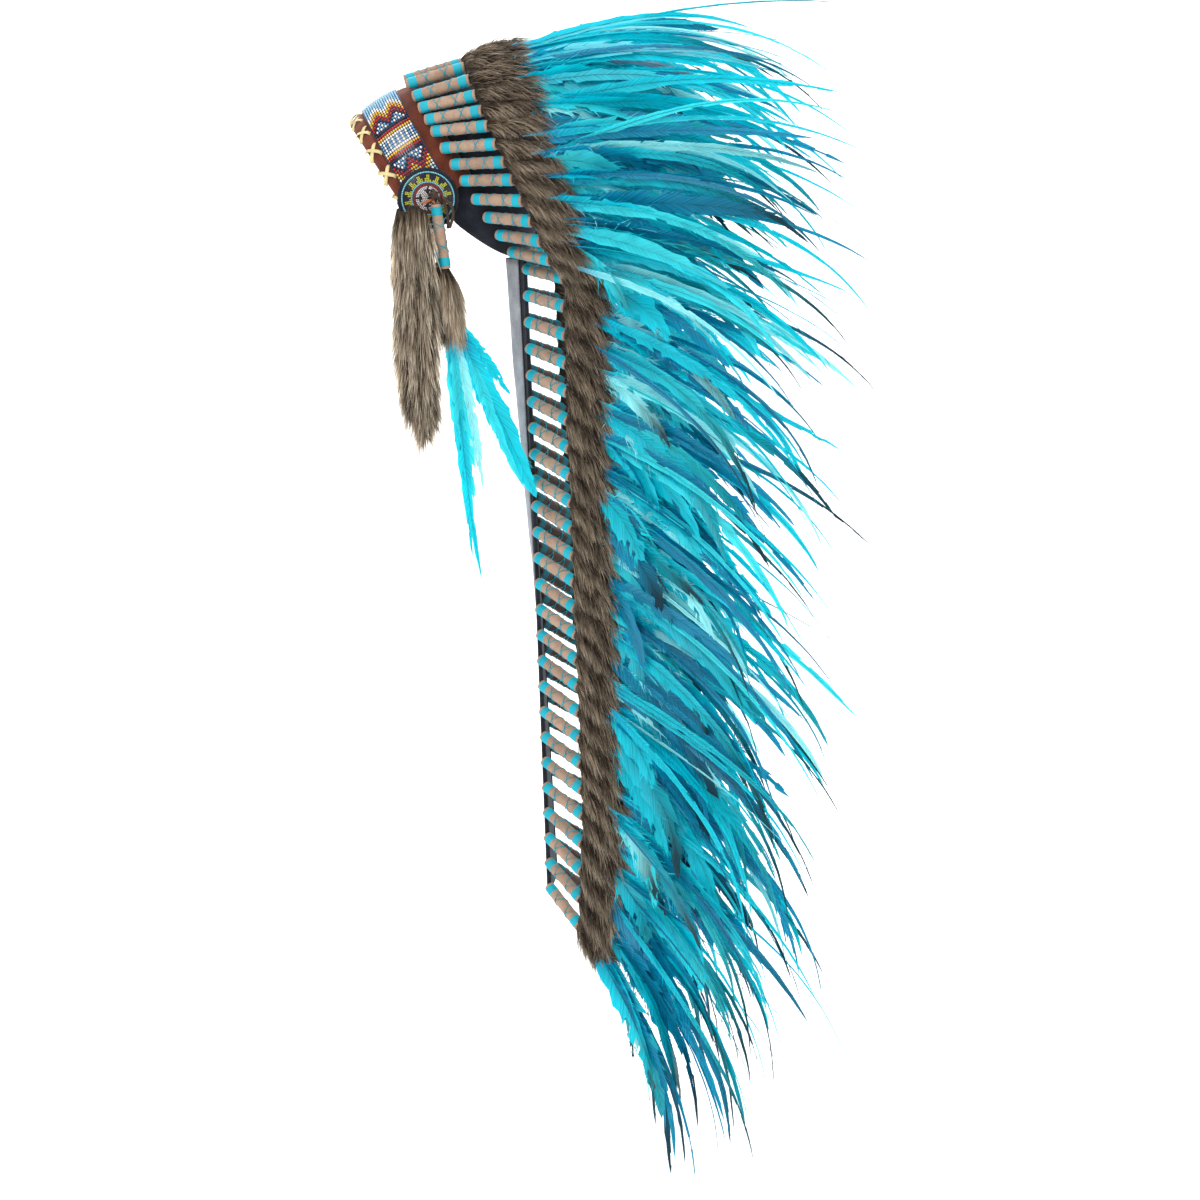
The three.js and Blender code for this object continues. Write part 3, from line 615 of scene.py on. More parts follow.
def loom_colour(row, column):
    """Colour of the bead at a row and column counted from the middle of a motif."""
    row = abs(row)
    if row < len(BLOCK):
        name = BLOCK[row]
    else:
        past = row - len(BLOCK) - PEAK[column]
        name = "check" if past < 0 else EDGE[past] if past < len(EDGE) else "sky"
    if name == "check":
        return "white" if (row + column) % 2 else "blue"
    if name == "stripe":
        return "white" if column % 2 else "blue"
    return name


BEAD_SIDES = 6
RING_UP = np.array([-0.8, -0.35, 0.35, 0.8])  # the bead's four rings, as shares of half its length
RING_OUT = np.array([0.62, 1.0, 1.0, 0.62])  # and of its radius


def bead_shapes(build, beads, length, radius):
    """Small barrels. Each bead is its centre, its axis, two directions square to that, and a colour."""
    centres, axis, across, outward, colours = [np.array(values) for values in zip(*beads)]
    angle = 2 * np.pi * (np.arange(BEAD_SIDES) + 0.5) / BEAD_SIDES
    ring = np.cos(angle)[None, :, None] * across[:, None] + np.sin(angle)[None, :, None] * outward[:, None]
    n, corners = len(centres), len(RING_UP) * BEAD_SIDES
    shape = (centres[:, None, None] + 0.5 * length * RING_UP[None, :, None, None] * axis[:, None, None]
             + radius * RING_OUT[None, :, None, None] * ring[:, None])
    quads = quads_between(len(RING_UP), BEAD_SIDES, True)
    ends = np.array([(3, 2, 1, 0), (5, 4, 3, 0), (18, 19, 20, 21), (18, 21, 22, 23)])
    quads = np.concatenate([quads, ends])[None] + (np.arange(n) * corners)[:, None, None]
    build.add(shape.reshape(-1, 3), quads.reshape(-1, 4), (), np.repeat(colours, corners, 0))


PITCH, ACROSS, COLUMNS = 3.34, 2.56, 15  # row to row, column to column, and how many columns
STRIP_HALF = 19.4
fine = np.linspace(-STRIP_REACH, STRIP_REACH, 800)
line = band(fine, saddle(fine), 0.0)
arc = arc_length(line)
places = np.arange(PITCH / 2, arc[-1] - 1.2, PITCH)
build = Build()
beads = []
middle_row = len(places) // 2
for row, place in enumerate(places):
    around = float(np.interp(place, arc, fine))
    for column in range(COLUMNS):
        up = float(saddle(around)) + (column - (COLUMNS - 1) / 2) * ACROSS
        point = band(around, up, -0.75 + rng.uniform(-0.08, 0.08))
        outward = unit(band(around, up, 1.0) - band(around, up, 0.0))
        upward = unit(band(around, up + 0.5, 0.0) - band(around, up - 0.5, 0.0))
        name = loom_colour(abs(row - middle_row) - SIDE_MOTIF_ROW, column)
        beads.append((point, unit(np.cross(upward, outward)), upward, outward,
                      BEAD_COLOURS[name] * rng.uniform(0.86, 1.08)))
bead_shapes(build, beads, 3.0, 1.08)
for up_edge in (-19.6, 19.6):
    build.tube(band(fine[::12], saddle(fine[::12]) + up_edge, -1.0), 0.45, 5, srgb("#3A3F55"))
rows = [band(a, saddle(a) + np.array([-STRIP_HALF, -10, 0, 10, STRIP_HALF, STRIP_HALF, 0, -STRIP_HALF]),
             np.repeat([-1.2, -1.75], (5, 3))) for a in fine[::8]]
build.grid(rows, srgb("#2A3550"), 0, closed=True, caps=True)
build.object("bead_strip_beads", [BEAD], ["bead_strip"])

# Skull cap of felt, smooth, with its edge turned in.
CAP = np.array([  # height, front, back, side
    (-8, 104.6, 106, 67), (14, 103.6, 105.4, 66), (38, 99.4, 101.6, 62), (56, 96.5, 88.5, 59.5),
    (74, 90, 69, 51), (87, 75, 44, 37), (93, 46, 14, 18)])
RIM = np.array([  # degrees from the front, height
    (0, 8), (75, 2), (104, -2), (142, 23), (165, 38), (180, 40)])
CAP_STEPS, CAP_THICK = 96, 2.0
around = np.linspace(0, 2 * np.pi, CAP_STEPS, endpoint=False)
from_front = np.degrees(np.arccos(np.cos(around)))
rim = np.interp(from_front, RIM[:, 0], RIM[:, 1])


def cap_ring(climb, inset):
    """Ring of the cap. A climb of 0 is its rim, 1 the height above which its rings lie level, 4 its top."""
    level = np.interp(climb, (1, 2, 3, 4), CAP[3:, 0])
    up = rim + (level - rim) * climb if climb <= 1 else np.full(len(around), level)
    front, back, side = [np.interp(up, CAP[:, 0], CAP[:, i]) - inset for i in (1, 2, 3)]
    return plan(around, front, back, side, up)


climbs = [0, 0.12, 0.3, 0.5, 0.75, 1, 1.5, 2, 2.5, 3, 3.5, 4]
outer = [cap_ring(c, 0.0) for c in climbs]
inner = [cap_ring(c, CAP_THICK) for c in climbs]
for i, ring in enumerate(inner[climbs.index(1):]):
    ring[:, 2] -= CAP_THICK * (0.25 + 0.12 * i)
rows = [head(r) for r in outer[::-1] + inner]
build = Build()
build.grid(rows, closed=True)
points = np.array([head((0, -16, 94.3)), head((0, -16, 92.2))])
build.add(np.concatenate([rows[0], rows[-1], points]), (), fans(CAP_STEPS, CAP_STEPS, 2 * CAP_STEPS))
build.object("skull_cap_felt", [BLACK_FELT], ["skull_cap"])

# ---- rosettes ----

TRIANGLES = 14
RING_PITCH, RING_BEAD = 1.58, 1.62  # ring to ring, and bead to bead along a ring
STAR_OUT = 7.4
LIME_SHARES = (0.34, 0.30, 0.20, 0.12, 0.0)  # how much of each ring's half triangle is lime, outwards


def rosette_colour(ring, radius, angle):
    """Bead colour: fourteen stepped triangles in the black ring, and four stars in the white middle."""
    share = abs((angle / (2 * np.pi) * TRIANGLES) % 1 - 0.5)
    if ring in (10, 16):
        return "ring"
    if ring > 10:
        return "lime" if share < LIME_SHARES[ring - 11] else "black"
    if ring > 7:
        return "dark"
    x, y = radius * math.cos(angle), radius * math.sin(angle)
    for turn in range(4):
        dx, dy = x - STAR_OUT * math.cos(turn * np.pi / 2), y - STAR_OUT * math.sin(turn * np.pi / 2)
        if min(abs(dx), abs(dy)) < 0.8 and max(abs(dx), abs(dy)) < 4.0 or abs(dx) + abs(dy) < 2.6:
            return "black"
    return "pale"


for name, sign in SIDES:
    centre = head((sign * ROSETTE[0], *ROSETTE[1:]))
    out = np.array([sign, 0.0, 0.0])
    e1, e2 = np.array([0, 1.0, 0]), np.array([0, 0, 1.0])
    build = Build()
    angle = np.linspace(0, 2 * np.pi, 144, endpoint=False)
    spokes = np.cos(angle)[:, None] * e1 + np.sin(angle)[:, None] * e2
    edge = 29.2 + 0.9 * np.abs(np.sin(angle * 18))
    rows = []
    for radius, height in ((0.0, 0.1), (20.0, 0.1), (edge - 0.8, 0.1), (edge, 0.7), (edge, 1.6),
                           (edge - 0.7, 2.2), (26.5, 2.35), (10.0, 2.35), (0.0, 2.35)):
        radius = np.broadcast_to(radius, angle.shape)[:, None]
        rows.append(centre + height * out + radius * spokes)
    build.grid(rows, closed=True)
    build.object(f"rosette_backing_{name}_felt", [BLACK_FELT], [f"rosette_backing_{name}"])
    build = Build()
    beads = []
    for ring in range(1, 17):
        radius = ring * RING_PITCH
        count = max(6, int(round(2 * np.pi * radius / RING_BEAD)))
        if ring > 10:
            count = TRIANGLES * int(round(count / TRIANGLES))
        shift = 0.5 if ring < 11 and ring % 2 else 0.5 * (count // TRIANGLES % 2 == 0)
        for i in range(count):
            a = 2 * np.pi * (i + shift) / count
            radial = np.cos(a) * e1 + np.sin(a) * e2
            beads.append((centre + radius * radial + 3.75 * out, -np.sin(a) * e1 + np.cos(a) * e2,
                          radial, out,
                          BEAD_COLOURS[rosette_colour(ring, radius, a)] * rng.uniform(0.86, 1.08)))
    bead_shapes(build, beads, 1.5, 0.78)
    rows = [centre + (2.8 + h) * out + r * spokes
            for r, h in ((0.0, 0.0), (25.4, 0.0), (25.6, 0.5), (25.2, 0.9), (0.0, 0.9))]
    build.grid(rows, srgb("#20222C"), closed=True)
    build.object(f"rosette_face_{name}_beads", [BEAD], [f"rosette_face_{name}"])

# ---- feathers ----

TEAL = {name: srgb(code) for name, code in dict(
    base="#00A8DE", deep="#028CB0", mid="#02CCDE", light="#34E0EA", pale="#98F0F4", ink="#062A38").items()}

STEEPEST = math.radians(-84)
CUFF_END = 118  # where the fur ends along a quill
ROOTS = (88, 100)  # where long and short feathers begin along a quill
STRAYS = 0.07  # share of the feathers that stand out of line
TIP_LIMIT = np.array([342.0, 398.0, 984.0])  # no tip goes further out, back or down than this


def feather(build, quill, start, length, half, bend, roll, widest, tone, loose,
            pitch=0.0, flare=0.0, droop=1.0, curl=0.0, ink=0.0, stations=26):
    """One feather: a shaft that bends down as it goes out, a vane on both sides with fine splits,
    and loose barbs along the vane's edges."""
    t = np.linspace(0, 1, stations + 1)
    swing = np.sin(t * rng.uniform(4, 7) + rng.uniform(0, 6)) * t
    rise = quill.pitch + pitch - quill.droop * droop * t ** bend + math.radians(3.5) * swing
    rise = np.maximum(rise, STEEPEST)
    lean = quill.flare * (1 - 0.6 * t) + flare * (1 - 0.3 * t) + curl * t ** 2 - math.radians(3) * swing
    tangent = quill.toward(rise, lean)
    step = length / stations
    path = np.concatenate([np.zeros((1, 3)), np.cumsum(tangent[:-1] * step, 0)])
    end = path[-1]
    room = np.sign(end) * TIP_LIMIT - start
    trim = max(1.0, float(np.max(end[[0, 1]] / room[[0, 1]])), end[2] / room[2] if end[2] < 0 else 1.0)
    length = length / trim
    path = start + path / trim
    side = unit(quill.across - (tangent @ quill.across)[:, None] * tangent)
    normal = np.cross(tangent, side)
    twist = (roll + (0.5 * roll + 1.2 * curl) * t)[:, None]
    c, s = np.cos(twist), np.sin(twist)
    side, normal = c * side + s * normal, c * normal - s * side
    grow, fall = np.minimum(1, t / widest), np.clip((1 - t) / (1 - widest), 0, 1)
    body = (0.42 + 0.58 * np.sin(grow * np.pi / 2)) * fall ** 0.62
    near = (np.clip(1 - t / 0.2, 0, 1) * 0.7)[:, None]
    colour = TEAL[tone] * (1 - near) + TEAL["base"] * near
    far = (np.clip((t - 0.45) / 0.4, 0, 1) * ink)[:, None]
    colour = colour * (1 - far) + TEAL["ink"] * far
    seed = rng.uniform(0, 1000)
    shaft = np.arange(0, stations + 1, 2)
    build.tube(path[shaft], np.interp(t[shaft], (0, 0.5, 1), (0.7, 0.45, 0.12)), 3,
               colour[shaft] * rng.choice([0.6, 0.9, 1.25]), 0, caps=False)
    shares = np.array([0.0, 0.5, 1.0])
    for hand in (-1.0, 1.0):
        cot = np.interp(t, (0, 0.3, 1), (0.9, 1.6, 2.6))
        ragged = (1 + 0.10 * np.sin(t * rng.uniform(30, 60) + rng.uniform(0, 6))
                  + 0.09 * rng.standard_normal(len(t)))
        wide = half * body * np.clip(ragged, 0.6, 1.25)
        cup = rng.uniform(-0.28, 0.12)
        offset = wide[:, None] * shares
        slide = offset * cot[:, None] * 0.62
        rows = (path[:, None] + tangent[:, None] * np.minimum(slide, (1 - t[:, None]) * length)[..., None]
                + hand * side[:, None] * (0.96 * offset)[..., None]
                + normal[:, None] * (cup * wide[:, None] * shares ** 2
                                     + 0.02 * wide[:, None] * rng.standard_normal((len(t), 1)))[..., None])
        shade = ((1 + 0.07 * rng.standard_normal(len(t)))[:, None, None]
                 * np.array([0.92, 1.0, 1.10])[None, :, None])
        along = (t * length)[:, None] + slide - offset * cot[:, None]
        whole = rng.random(stations) > 0.05 + 0.25 * loose * t[:-1]
        keep = np.stack([np.full(stations, True), whole], 1).ravel()
        build.add(rows, quads_between(stations + 1, len(shares), False)[keep], (),
                  (colour[:, None] * shade).reshape(-1, 3), 0, seed + along * hand * 0.9)
        fringe = np.sort(rng.uniform(0.02, 0.96, int(stations * (1.3 + 2.2 * loose))))
        at, inner = read_off(fringe, t, rows[:, 2]), read_off(fringe, t, rows[:, 1])
        out = unit(at - inner + 1e-6)
        ahead = read_off(fringe, t, tangent)
        aim = unit(0.55 * out + ahead * rng.uniform(0.7, 1.5, (len(fringe), 1))
                   + (0.10 + 0.25 * loose) * rng.standard_normal((len(fringe), 3)))
        reach = np.interp(fringe, t, wide)[:, None] * rng.uniform(0.35, 0.9 + loose, (len(fringe), 1)) + 1.2
        root = at - 0.3 * (at - inner)
        thin = rng.uniform(0.5, 1.3, (len(fringe), 1)) * ahead
        points = np.stack([root - thin, root + thin, root + reach * aim], 1)
        tones = read_off(fringe, t, colour) * rng.uniform(0.85, 1.3, (len(fringe), 1))
        k = (np.arange(len(fringe)) * 3)[:, None]
        build.add(points, (), k + (0, 1, 2), np.repeat(tones, 3, 0), 0, seed)


KINDS = (  # how many to a quill, length, half-width, spread in degrees, widest place, looseness, bend
    (3, (0.48, 0.76), (9.5, 13), 2.2, 0.40, 0.85, 1.4), (4, (0.74, 1.02), (5.5, 8.5), 3.2, 0.30, 0.25, 1.75),
    (2, (0.92, 1.14), (2.6, 4.2), 5.0, 0.25, 0.10, 1.9), (2, (0.24, 0.40), (9, 14), 6.0, 0.45, 1.0, 1.1))


def plumes(name, row, node, rise_limit=None):
    """All feathers of a row of quills. rise_limit gives the most that a quill's feathers point up from it."""
    build = Build()
    for quill in row:
        lead = np.radians(rng.normal(0, (2.6, 3.2)))
        low = quill.number / 24 if rise_limit is None else 0.0  # the trailer's feathers darken downwards
        for count, lengths, halves, spread, widest, loose, bend in KINDS:
            for _ in range(count):
                tone = rng.choice(["deep", "mid", "light", "pale"],
                                  p=[0.24 + 0.22 * low, 0.42, 0.22 - 0.16 * low, 0.12 - 0.06 * low])
                stray = rng.random() < STRAYS
                length = quill.plume * rng.uniform(*lengths)
                root = ROOTS[0] if length > 120 else ROOTS[1]
                start = quill.at(root, rng.uniform(-4, 4), rng.uniform(-3.5, 3.5))
                angles = lead + np.radians(rng.normal(0, spread, 2))
                if rise_limit is not None:
                    angles[0] = min(angles[0], rise_limit(quill))
                feather(build, quill, start, length + CUFF_END - root, rng.uniform(*halves),
                        pitch=angles[0] + 0.1 * stray, flare=angles[1],
                        droop=rng.uniform(1.0, 2.0) * (0.6 if stray else 1), bend=bend,
                        roll=rng.normal(0, 0.45), curl=rng.normal(0, 0.10), widest=widest, tone=tone,
                        ink=rng.choice([0, 0.5, 0.95], p=[0.66 - 0.24 * low, 0.20, 0.14 + 0.24 * low]),
                        loose=loose, stations=int(np.clip(length / 10, 14, 28)))
    build.object(name, [FEATHER], [node])


plumes("crown_feathers", crown_row, "crown_plumes",
       lambda quill: math.radians(-3.0 if quill.number < 5 else 20.0))
for name, sign in SIDES:
    plumes(f"trailer_feathers_{name}", trailer_rows[name], f"trailer_plumes_{name}")

# ---- fur ----

FUR_ROOT, FUR_MID, FUR_TIP = [srgb(code) for code in ("#33281F", "#8A7965", "#E6DAC6")]
CUFF_HAIRS, CUFF_WISPS = 24000, 70  # to a row, and to a quill
CUFF_START, CUFF_RUN, CUFF_THICK = 55, 68, 11.5  # its start along the quill, its length, half its depth
ROW_END = 22  # millimetres to one quill's spacing, past the row's last quill
HIDE_FROM, HIDE_TO = 60, 112  # the core, along the quill
HAIR_FROM, HAIR_RUN = 59, 56  # the hairs' roots, along the quill


def hairs(build, roots, aims, lengths, widths, shade, droop, pale):
    """Tapered slivers that start along aims and sink towards the ground."""
    n = len(roots)
    second = unit(aims + droop[:, None] * np.array([0, 0, -1.0]))
    across = unit(np.cross(aims, rng.standard_normal((n, 3))))
    length = lengths[:, None]
    middle = roots + 0.45 * length * aims
    tip = middle + 0.55 * length * second
    wide = 0.5 * widths[:, None] * across
    points = np.stack([roots - wide, roots + wide, middle - 0.8 * wide, middle + 0.8 * wide, tip], 1)
    k = (np.arange(n) * 5)[:, None]
    tip_colour = FUR_MID + (FUR_TIP - FUR_MID) * pale[:, None]
    colours = np.stack([np.broadcast_to(c, (n, 3))
                        for c in (FUR_ROOT, FUR_ROOT, FUR_MID * 0.85, FUR_MID * 0.85)]
                       + [tip_colour], 1)
    build.add(points.reshape(-1, 3), k + (0, 1, 3, 2), k + (2, 3, 4),
              (colours * shade[:, None, None]).reshape(-1, 3))


def smooth_noise(seed, *coordinates):
    """Three wavy values for each place, the same for places close together."""
    local = np.random.default_rng(seed)
    total = np.zeros((len(coordinates[0]), 3))
    for octave in range(4):
        waves = local.normal(0, 1.5 ** octave, (len(coordinates), 3))
        phase = local.uniform(0, 6.28, 3)
        total += np.sin(sum(c[:, None] * w for c, w in zip(coordinates, waves)) + phase) / 1.25 ** octave
    return total / 2.2


def fur_band(name, row, node, sink, flow, seed):
    """Fur over a row of quills: a hide core, hairs in tufts, and wisps between the tufts."""
    n, count = len(row), CUFF_HAIRS
    index = np.arange(n)
    fields = {key: np.array([getattr(q, key) for q in row])
              for key in ("base", "direction", "normal", "across")}

    def place(u, s, face):
        """Frame of the band at a place along the row, out along the quill, and on a face."""
        inside = np.clip(u, 0, n - 1)
        value = {key: read_off(inside, index, field) for key, field in fields.items()}
        direction, normal, across = [unit(value[key]) for key in ("direction", "normal", "across")]
        base = value["base"] + ((u - inside) * ROW_END)[:, None] * across
        swell = CUFF_THICK * np.sqrt(np.clip(np.sin(np.pi * (s - CUFF_START) / CUFF_RUN), 0.03, 1))
        ends = np.sqrt(np.clip(1 - (np.abs(u - inside) / 0.45) ** 2, 0.02, 1))
        thick = swell * (0.66 + 0.34 * np.cos(2 * np.pi * u)) * ends
        spot = base + s[:, None] * direction + (face * thick)[:, None] * normal
        return spot, direction, normal, across

    build = Build()
    u_rows = np.linspace(-0.4, n - 0.6, 6 * n)
    loop = np.concatenate([np.linspace(HIDE_FROM, HIDE_TO, 8), np.linspace(HIDE_TO, HIDE_FROM, 8)])
    faces = np.concatenate([np.full(8, 0.72), np.full(8, -0.72)])
    rows = [place(np.full(16, u), loop, faces)[0] for u in u_rows]
    build.grid(rows, FUR_ROOT * 0.9, 1, closed=True, caps=True)
    u = rng.uniform(-0.42, n - 0.58, count)
    s = HAIR_FROM + HAIR_RUN * rng.beta(1.0, 1.1, count)
    face = rng.choice([-1.0, 1.0], count)
    root, direction, normal, across = place(u, s, face * 0.78)
    # Hair runs out along the quill and down over the next tuft; each tuft lies over the one below.
    wave = smooth_noise(seed, u * 4.2, s / 10, face * 3)
    inside_tuft = (u + 0.5 - 0.012 * (s - 60)
                   + 0.20 * smooth_noise(seed + 3, u * 2.6, s / 26)[:, 0]) % 1 - 0.5
    fine = smooth_noise(seed + 9, u * 26 + s * 0.55, s / 16, face * 3)
    sweep = -unit(across * np.sign(across[:, 2:]))
    lift = rng.uniform(0.25, 1.1, count)[:, None]
    aims = unit(direction + (flow + 0.25 * inside_tuft)[:, None] * sweep
                + 0.32 * face[:, None] * normal * lift
                + 0.24 * wave + 0.13 * fine + 0.07 * rng.standard_normal((count, 3)))
    # Painted shade: hairs go darker towards the edges of each tuft, where it meets the next, and their tips
    # are less pale there.
    tuft_edge_shade = np.clip(np.abs(inside_tuft) * 2, 0, 1) ** 2.2
    shade = (np.clip(1.12 + 0.20 * wave[:, 0] + 0.30 * fine[:, 1] + 0.10 * rng.standard_normal(count),
                     0.35, 1.8) * (1 - 0.68 * tuft_edge_shade))
    pale = np.clip(0.45 + 0.45 * fine[:, 2] - 0.3 * tuft_edge_shade + 0.2 * wave[:, 1], 0, 1.1)
    hairs(build, root, aims, rng.uniform(14, 29, count), rng.uniform(0.56, 1.17, count), shade,
          np.full(count, sink) + 0.2 * rng.random(count), pale)
    # Dark wisps gather to points between the feather bundles.
    wisps = CUFF_WISPS * n
    gap = rng.integers(0, n, wisps)
    u = np.clip(gap + 0.5 + rng.normal(0, 0.10, wisps), -0.3, n - 0.7)
    root, direction, normal, across = place(u, rng.uniform(98, 112, wisps), rng.uniform(-0.7, 0.7, wisps))
    share = rng.random(n)[gap][:, None]
    aims = unit(direction - 0.25 * unit(across * np.sign(across[:, 2:]))
                - 0.9 * (u - gap - 0.5)[:, None] * across
                + 0.09 * rng.standard_normal((wisps, 3)))
    hairs(build, root, aims, rng.uniform(12, 20, wisps) + 18 * share[:, 0] * rng.random(wisps),
          rng.uniform(0.5, 0.9, wisps), rng.uniform(0.3, 0.75, wisps), np.full(wisps, 0.25),
          rng.uniform(0, 0.4, wisps))
    build.object(name, [FUR, HIDE], [node])


fur_band("crown_fur_cuffs", crown_row, "crown_fur", 0.35, 0.30, 11)
for name, sign in SIDES:
    fur_band(f"trailer_fur_cuffs_{name}", trailer_rows[name], f"trailer_fur_{name}", 0.25, 0.38, 20 + sign)

# ---- what hangs from each rosette ----

TAIL_OUT, DROP_OUT = 98, 88  # from the head's middle
TAIL_LOCKS = (  # back, top, length, width, thickness
    (-36, -16, 206, 24, 20), (-26, -10, 236, 26, 24), (-19, -14, 218, 20, 18))
LOCK_DOWN = (0, 0.12, 0.6, 0.86, 1)


def hanging_fur(build, sign, out, back, top, length, width, thick, count, seed,
                slope=0.0, streak=True, reach=0.93):
    """Hairs on a hanging lock, over a hide core."""
    down = np.linspace(0, 1, 12)
    size = np.interp(down, LOCK_DOWN, (0.45, 0.85, 0.78, 0.45, 0.08))
    angle = np.linspace(0, 2 * np.pi, 12, endpoint=False)
    centre = lambda d: np.stack(
        [np.full_like(d, sign * out), back + slope * d * length, top - d * length], -1)
    rows = centre(down * 0.9)[:, None] + np.stack([
        0.34 * thick * size[:, None] * np.cos(angle), 0.34 * width * size[:, None] * np.sin(angle),
        0 * size[:, None] * angle], -1)
    build.grid(rows, FUR_ROOT, 1, closed=True, caps=True)
    d = rng.beta(1.0, 1.12, count) * reach
    a = rng.uniform(0, 2 * np.pi, count)
    size = np.interp(d, LOCK_DOWN, (0.5, 0.9, 0.85, 0.5, 0.15))
    outward = np.stack([np.cos(a) * sign, np.sin(a), 0 * a], -1)
    root = centre(d) + 0.36 * np.stack([thick * size * np.cos(a) * sign, width * size * np.sin(a), 0 * a], -1)
    wave = smooth_noise(seed, np.cos(a) * 2.2, np.sin(a) * 2.2, d * length / 22)
    fine = smooth_noise(seed + 5, np.cos(a) * 7, np.sin(a) * 7, d * length / 7)
    aims = unit(np.array([0, slope, -1.0]) + 0.26 * outward + 0.20 * wave * (1, 1, 0.3)
                + 0.10 * fine * (1, 1, 0.3)
                + 0.06 * rng.standard_normal((count, 3)))
    edge = np.abs(np.sin(a))
    shade = np.clip(1.20 + 0.50 * wave[:, 0] + 0.55 * fine[:, 1] + 0.12 * rng.standard_normal(count),
                    0.35, 1.9)
    if streak:
        shade = shade * (0.62 + 0.62 * edge ** 1.2)
    hairs(build, root, aims, rng.uniform(16, 32, count), rng.uniform(0.66, 1.32, count), shade,
          np.full(count, 0.5), np.clip(0.40 + 0.7 * edge * streak + 0.45 * fine[:, 2], 0, 1.3))


class Hang:
    """Stands in for a quill, for feathers that hang from a cuff."""

    def __init__(self, sign, pitch, droop):
        self.sign, self.pitch, self.droop, self.flare = sign, math.radians(pitch), math.radians(droop), 0.0
        self.across = np.array([0, 1.0, 0])

    def toward(self, pitch, flare):
        return heading(pitch, flare, self.sign)


DROP_FEATHERS = (  # length, pitch, droop, half-width, start behind the middle, tone
    (232, -86, -3, 5.0, -5, "mid"), (150, -83, 3, 8.5, -3, "light"), (140, -79, 4, 6.0, 0, "pale"),
    (164, -67, -5, 12.5, 3, "mid"), (150, -70, -5, 6.0, 4, "light"), (62, -52, 0, 5.0, 5, "mid"))
slope = math.radians(8)
for name, sign in SIDES:
    build = Build()
    for i, (back, top, length, width, thick) in enumerate(TAIL_LOCKS):
        hanging_fur(build, sign, TAIL_OUT, back, top, length, width * 1.15, thick * 1.1,
                    int(2700 + 7.8 * length), 40 + i, 7 / length)
    build.object(f"fur_tail_{name}_hair", [FUR, HIDE], [f"fur_tail_{name}"])
    top = np.array([sign * DROP_OUT, -4.7, -9.0])
    along = np.array([0, math.sin(slope), -math.cos(slope)])
    build = Build()
    wrapped_shaft(build, top, along, 63.0, 5.2, 5.7, 14)
    build.object(f"drop_wrap_{name}_bound", [LEATHER, THREAD], [f"drop_wrap_{name}"])
    build = Build()
    cuff = top + 62 * along
    hanging_fur(build, sign, DROP_OUT, cuff[1] - 1, cuff[2], 76, 24, 22, 5600, 60,
                math.tan(slope), False, 0.74)
    build.object(f"drop_fur_{name}_hair", [FUR, HIDE], [f"drop_fur_{name}"])
    build = Build()
    start = top + 128 * along
    for length, pitch, droop, half, back, tone in DROP_FEATHERS:
        feather(build, Hang(sign, pitch, droop), start + (0, back, 6), length + 18, half,
                roll=rng.normal(0, 0.2), bend=1.3, widest=0.5 if half > 7 else 0.4, tone=tone, loose=0.35)
    build.object(f"drop_plume_{name}_feathers", [FEATHER], [f"drop_plume_{name}"])

# ---- laces ----

LACE_FROM = (14, 1)  # where the laces' ends begin, behind and above the rosette's middle
LACE_ENDS = (  # out from the head's middle; then back and down from that beginning
    (85.0, ((0, 0), (3, 10), (5.2, 20), (5, 30))), (88.8, ((0, 0), (8, 7.5), (10, 17), (6.5, 29.5))))
KNOT_FACE = 81.2
KNOTS = (  # out from the knot's face, back and up from the rosette's middle
    ((0, 1, 3), (4, 3, 5), (6, 8, 3), (5, 11, -1), (3, 12, -3)),
    ((0, 1, 0), (5, 3, 2), (7, 8, 1), (5, 12, 0)),
    ((0, 3, -3), (5, 4, -1), (6, 6, 5), (3, 5, 8), (0, 3, 7)), ((1, 9, 6), (5, 7, 2), (5, 4, -3), (1, 2, -4)))
KNOT_LOOPS = ((3, 5, -1), (6, 5, -3), (7, 7, -5.5)), ((3, 4, -1), (9, -1, -3), (13, -6, -5))


def spline(points, count):
    """Smooth line through points, evenly stepped."""
    points = np.asarray(points, float)
    padded = np.concatenate([2 * points[:1] - points[1:2], points, 2 * points[-1:] - points[-2:-1]])
    out = []
    for i in range(len(points) - 1):
        a, b, c, d = padded[i:i + 4]
        for t in np.linspace(0, 1, 24, endpoint=False):
            out.append(0.5 * (2 * b + (c - a) * t + (2 * a - 5 * b + 4 * c - d) * t ** 2
                              + (3 * b - a - 3 * c + d) * t ** 3))
    out = np.array(out + [points[-1]])
    arc = arc_length(out)
    return read_off(np.linspace(0, arc[-1], count), arc, out), arc[-1]


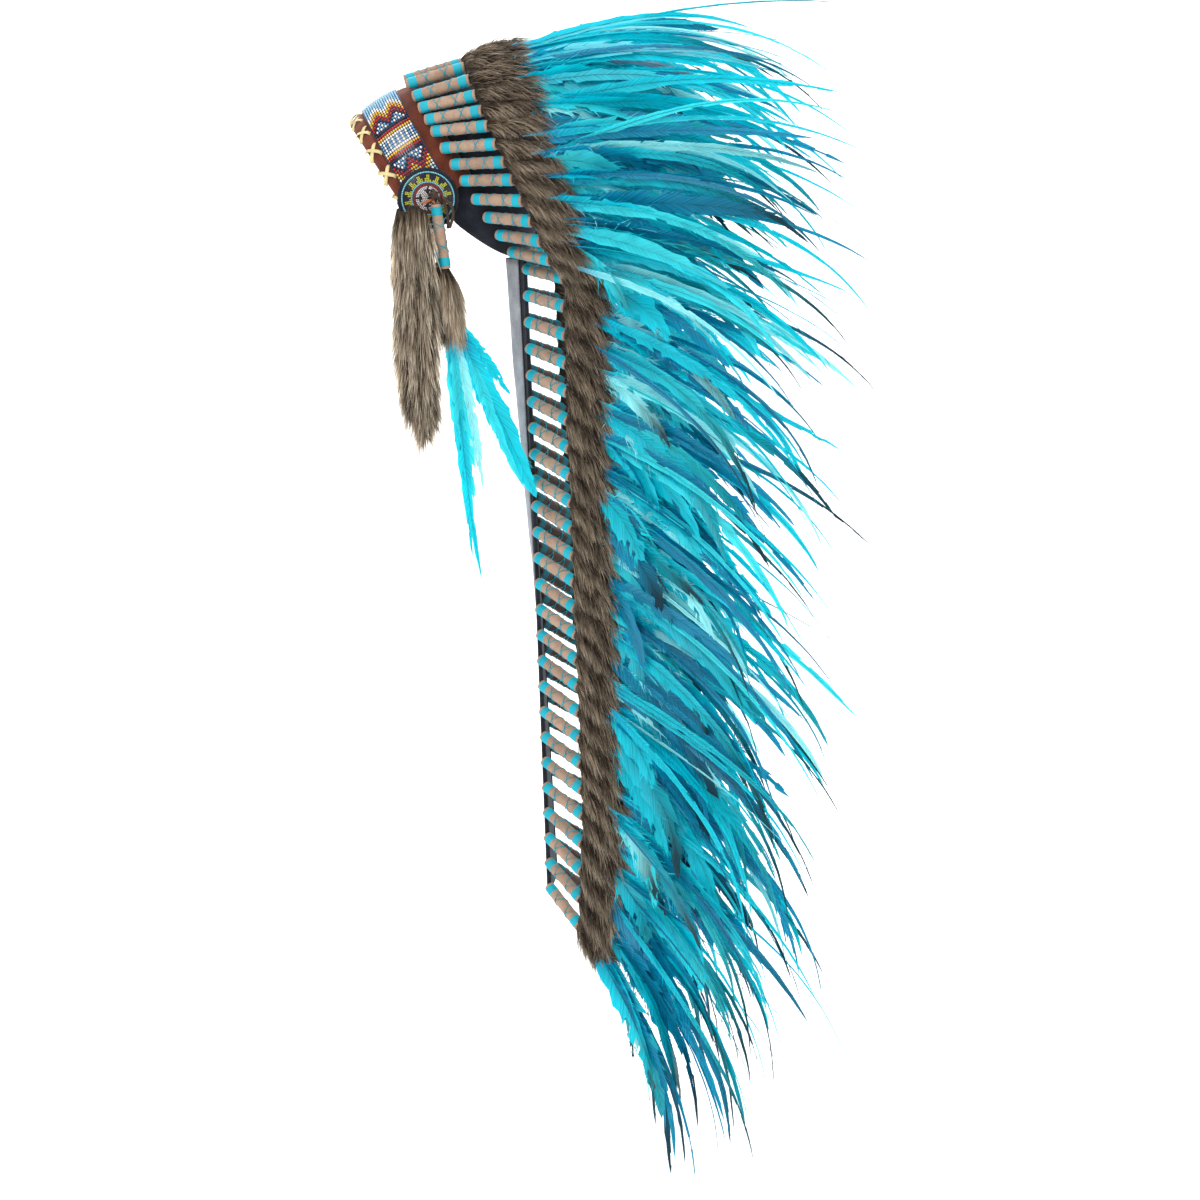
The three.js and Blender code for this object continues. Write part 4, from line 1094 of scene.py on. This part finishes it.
LACE_BROWN, ORANGE_SUEDE = srgb("#4A3A32"), srgb("#A8643C")
for name, sign in SIDES:
    _, cy, cz = head(ROSETTE)
    for i, (out, path) in enumerate(LACE_ENDS):
        line, length = spline([(sign * out, cy + LACE_FROM[0] + b, cz + LACE_FROM[1] - d) for b, d in path],
                              24)
        build = Build()
        build.tube(line, 1.5, 8, LACE_BROWN * rng.uniform(0.85, 1.1), flat=0.75, up=(sign, 0, 0))
        piece = build.object(f"lace_end_{name}_{i + 1}", [LACE], [f"thong_end_{name}_{i + 1}"])
    build = Build()
    for knot in KNOTS:
        line, _ = spline([(sign * (KNOT_FACE + x), cy + y, cz + z) for x, y, z in knot], 22)
        build.tube(line, 1.7, 7, LACE_BROWN * rng.uniform(0.85, 1.15), flat=0.7)
    for loop in KNOT_LOOPS:
        line, _ = spline([(sign * (KNOT_FACE + x), cy + y, cz + z) for x, y, z in loop], 14)
        build.tube(line, 1.9, 7, ORANGE_SUEDE, flat=0.6)
    build.object(f"lace_knot_{name}", [LACE], [f"thong_{name}"])

# ---- floor, backdrop and light ----

FLOOR_Z, CURVE = -1.04, 1.2  # metres from here on
profile = ([(2.8, FLOOR_Z)] + [(-2.2 - CURVE * math.sin(a), FLOOR_Z + CURVE * (1 - math.cos(a)))
                               for a in np.linspace(0, math.pi / 2, 12)] + [(-3.4, 3.2)])
rows = np.array([[(x, y, z) for x, z in profile] for y in (-5.0, 5.5)])
mesh = bpy.data.meshes.new("backdrop")
n = len(profile)
mesh.from_pydata([tuple(p) for p in rows.reshape(-1, 3)], [],
                 [(i, i + 1, n + i + 1, n + i) for i in range(n - 1)])
paper = Look("backdrop", 0.9, 0.1)
paper.put(("Base Color", (0.93, 0.93, 0.93, 1)), ("Emission Color", (1, 1, 1, 1)),
          ("Emission Strength", 0.25))
mesh.materials.append(paper.material)
for polygon in mesh.polygons:
    polygon.use_smooth = True
backdrop = added("backdrop", mesh)

world = bpy.data.worlds.new("studio")
world.use_nodes = True
world.node_tree.nodes["Background"].inputs["Color"].default_value = (1, 1, 1, 1)
world.node_tree.nodes["Background"].inputs["Strength"].default_value = 0.75
bpy.context.scene.world = world

for name, place, target, size, power in (
        ("key", (2.6, -1.8, 2.2), (0, 0.1, -0.3), 1.6, 62),
        ("fill", (2.2, 2.4, 0.6), (0, 0.2, -0.5), 2.2, 26),
        ("back", (-1.8, 0.4, 1.6), (0, 0.2, -0.4), 2.0, 30),
        ("wall", (-1.2, 0.0, 2.6), (-3.2, 0.2, 0.0), 2.4, 60)):
    data = bpy.data.lights.new(name, "AREA")
    data.shape = "DISK"
    data.size, data.energy = size, power
    light = added(name, data)
    light.location = place
    light.rotation_euler = (Vector(place) - Vector(target)).to_track_quat("Z", "Y").to_euler()

scene = bpy.context.scene
scene.view_settings.view_transform = "Standard"
scene.view_settings.look = "None"
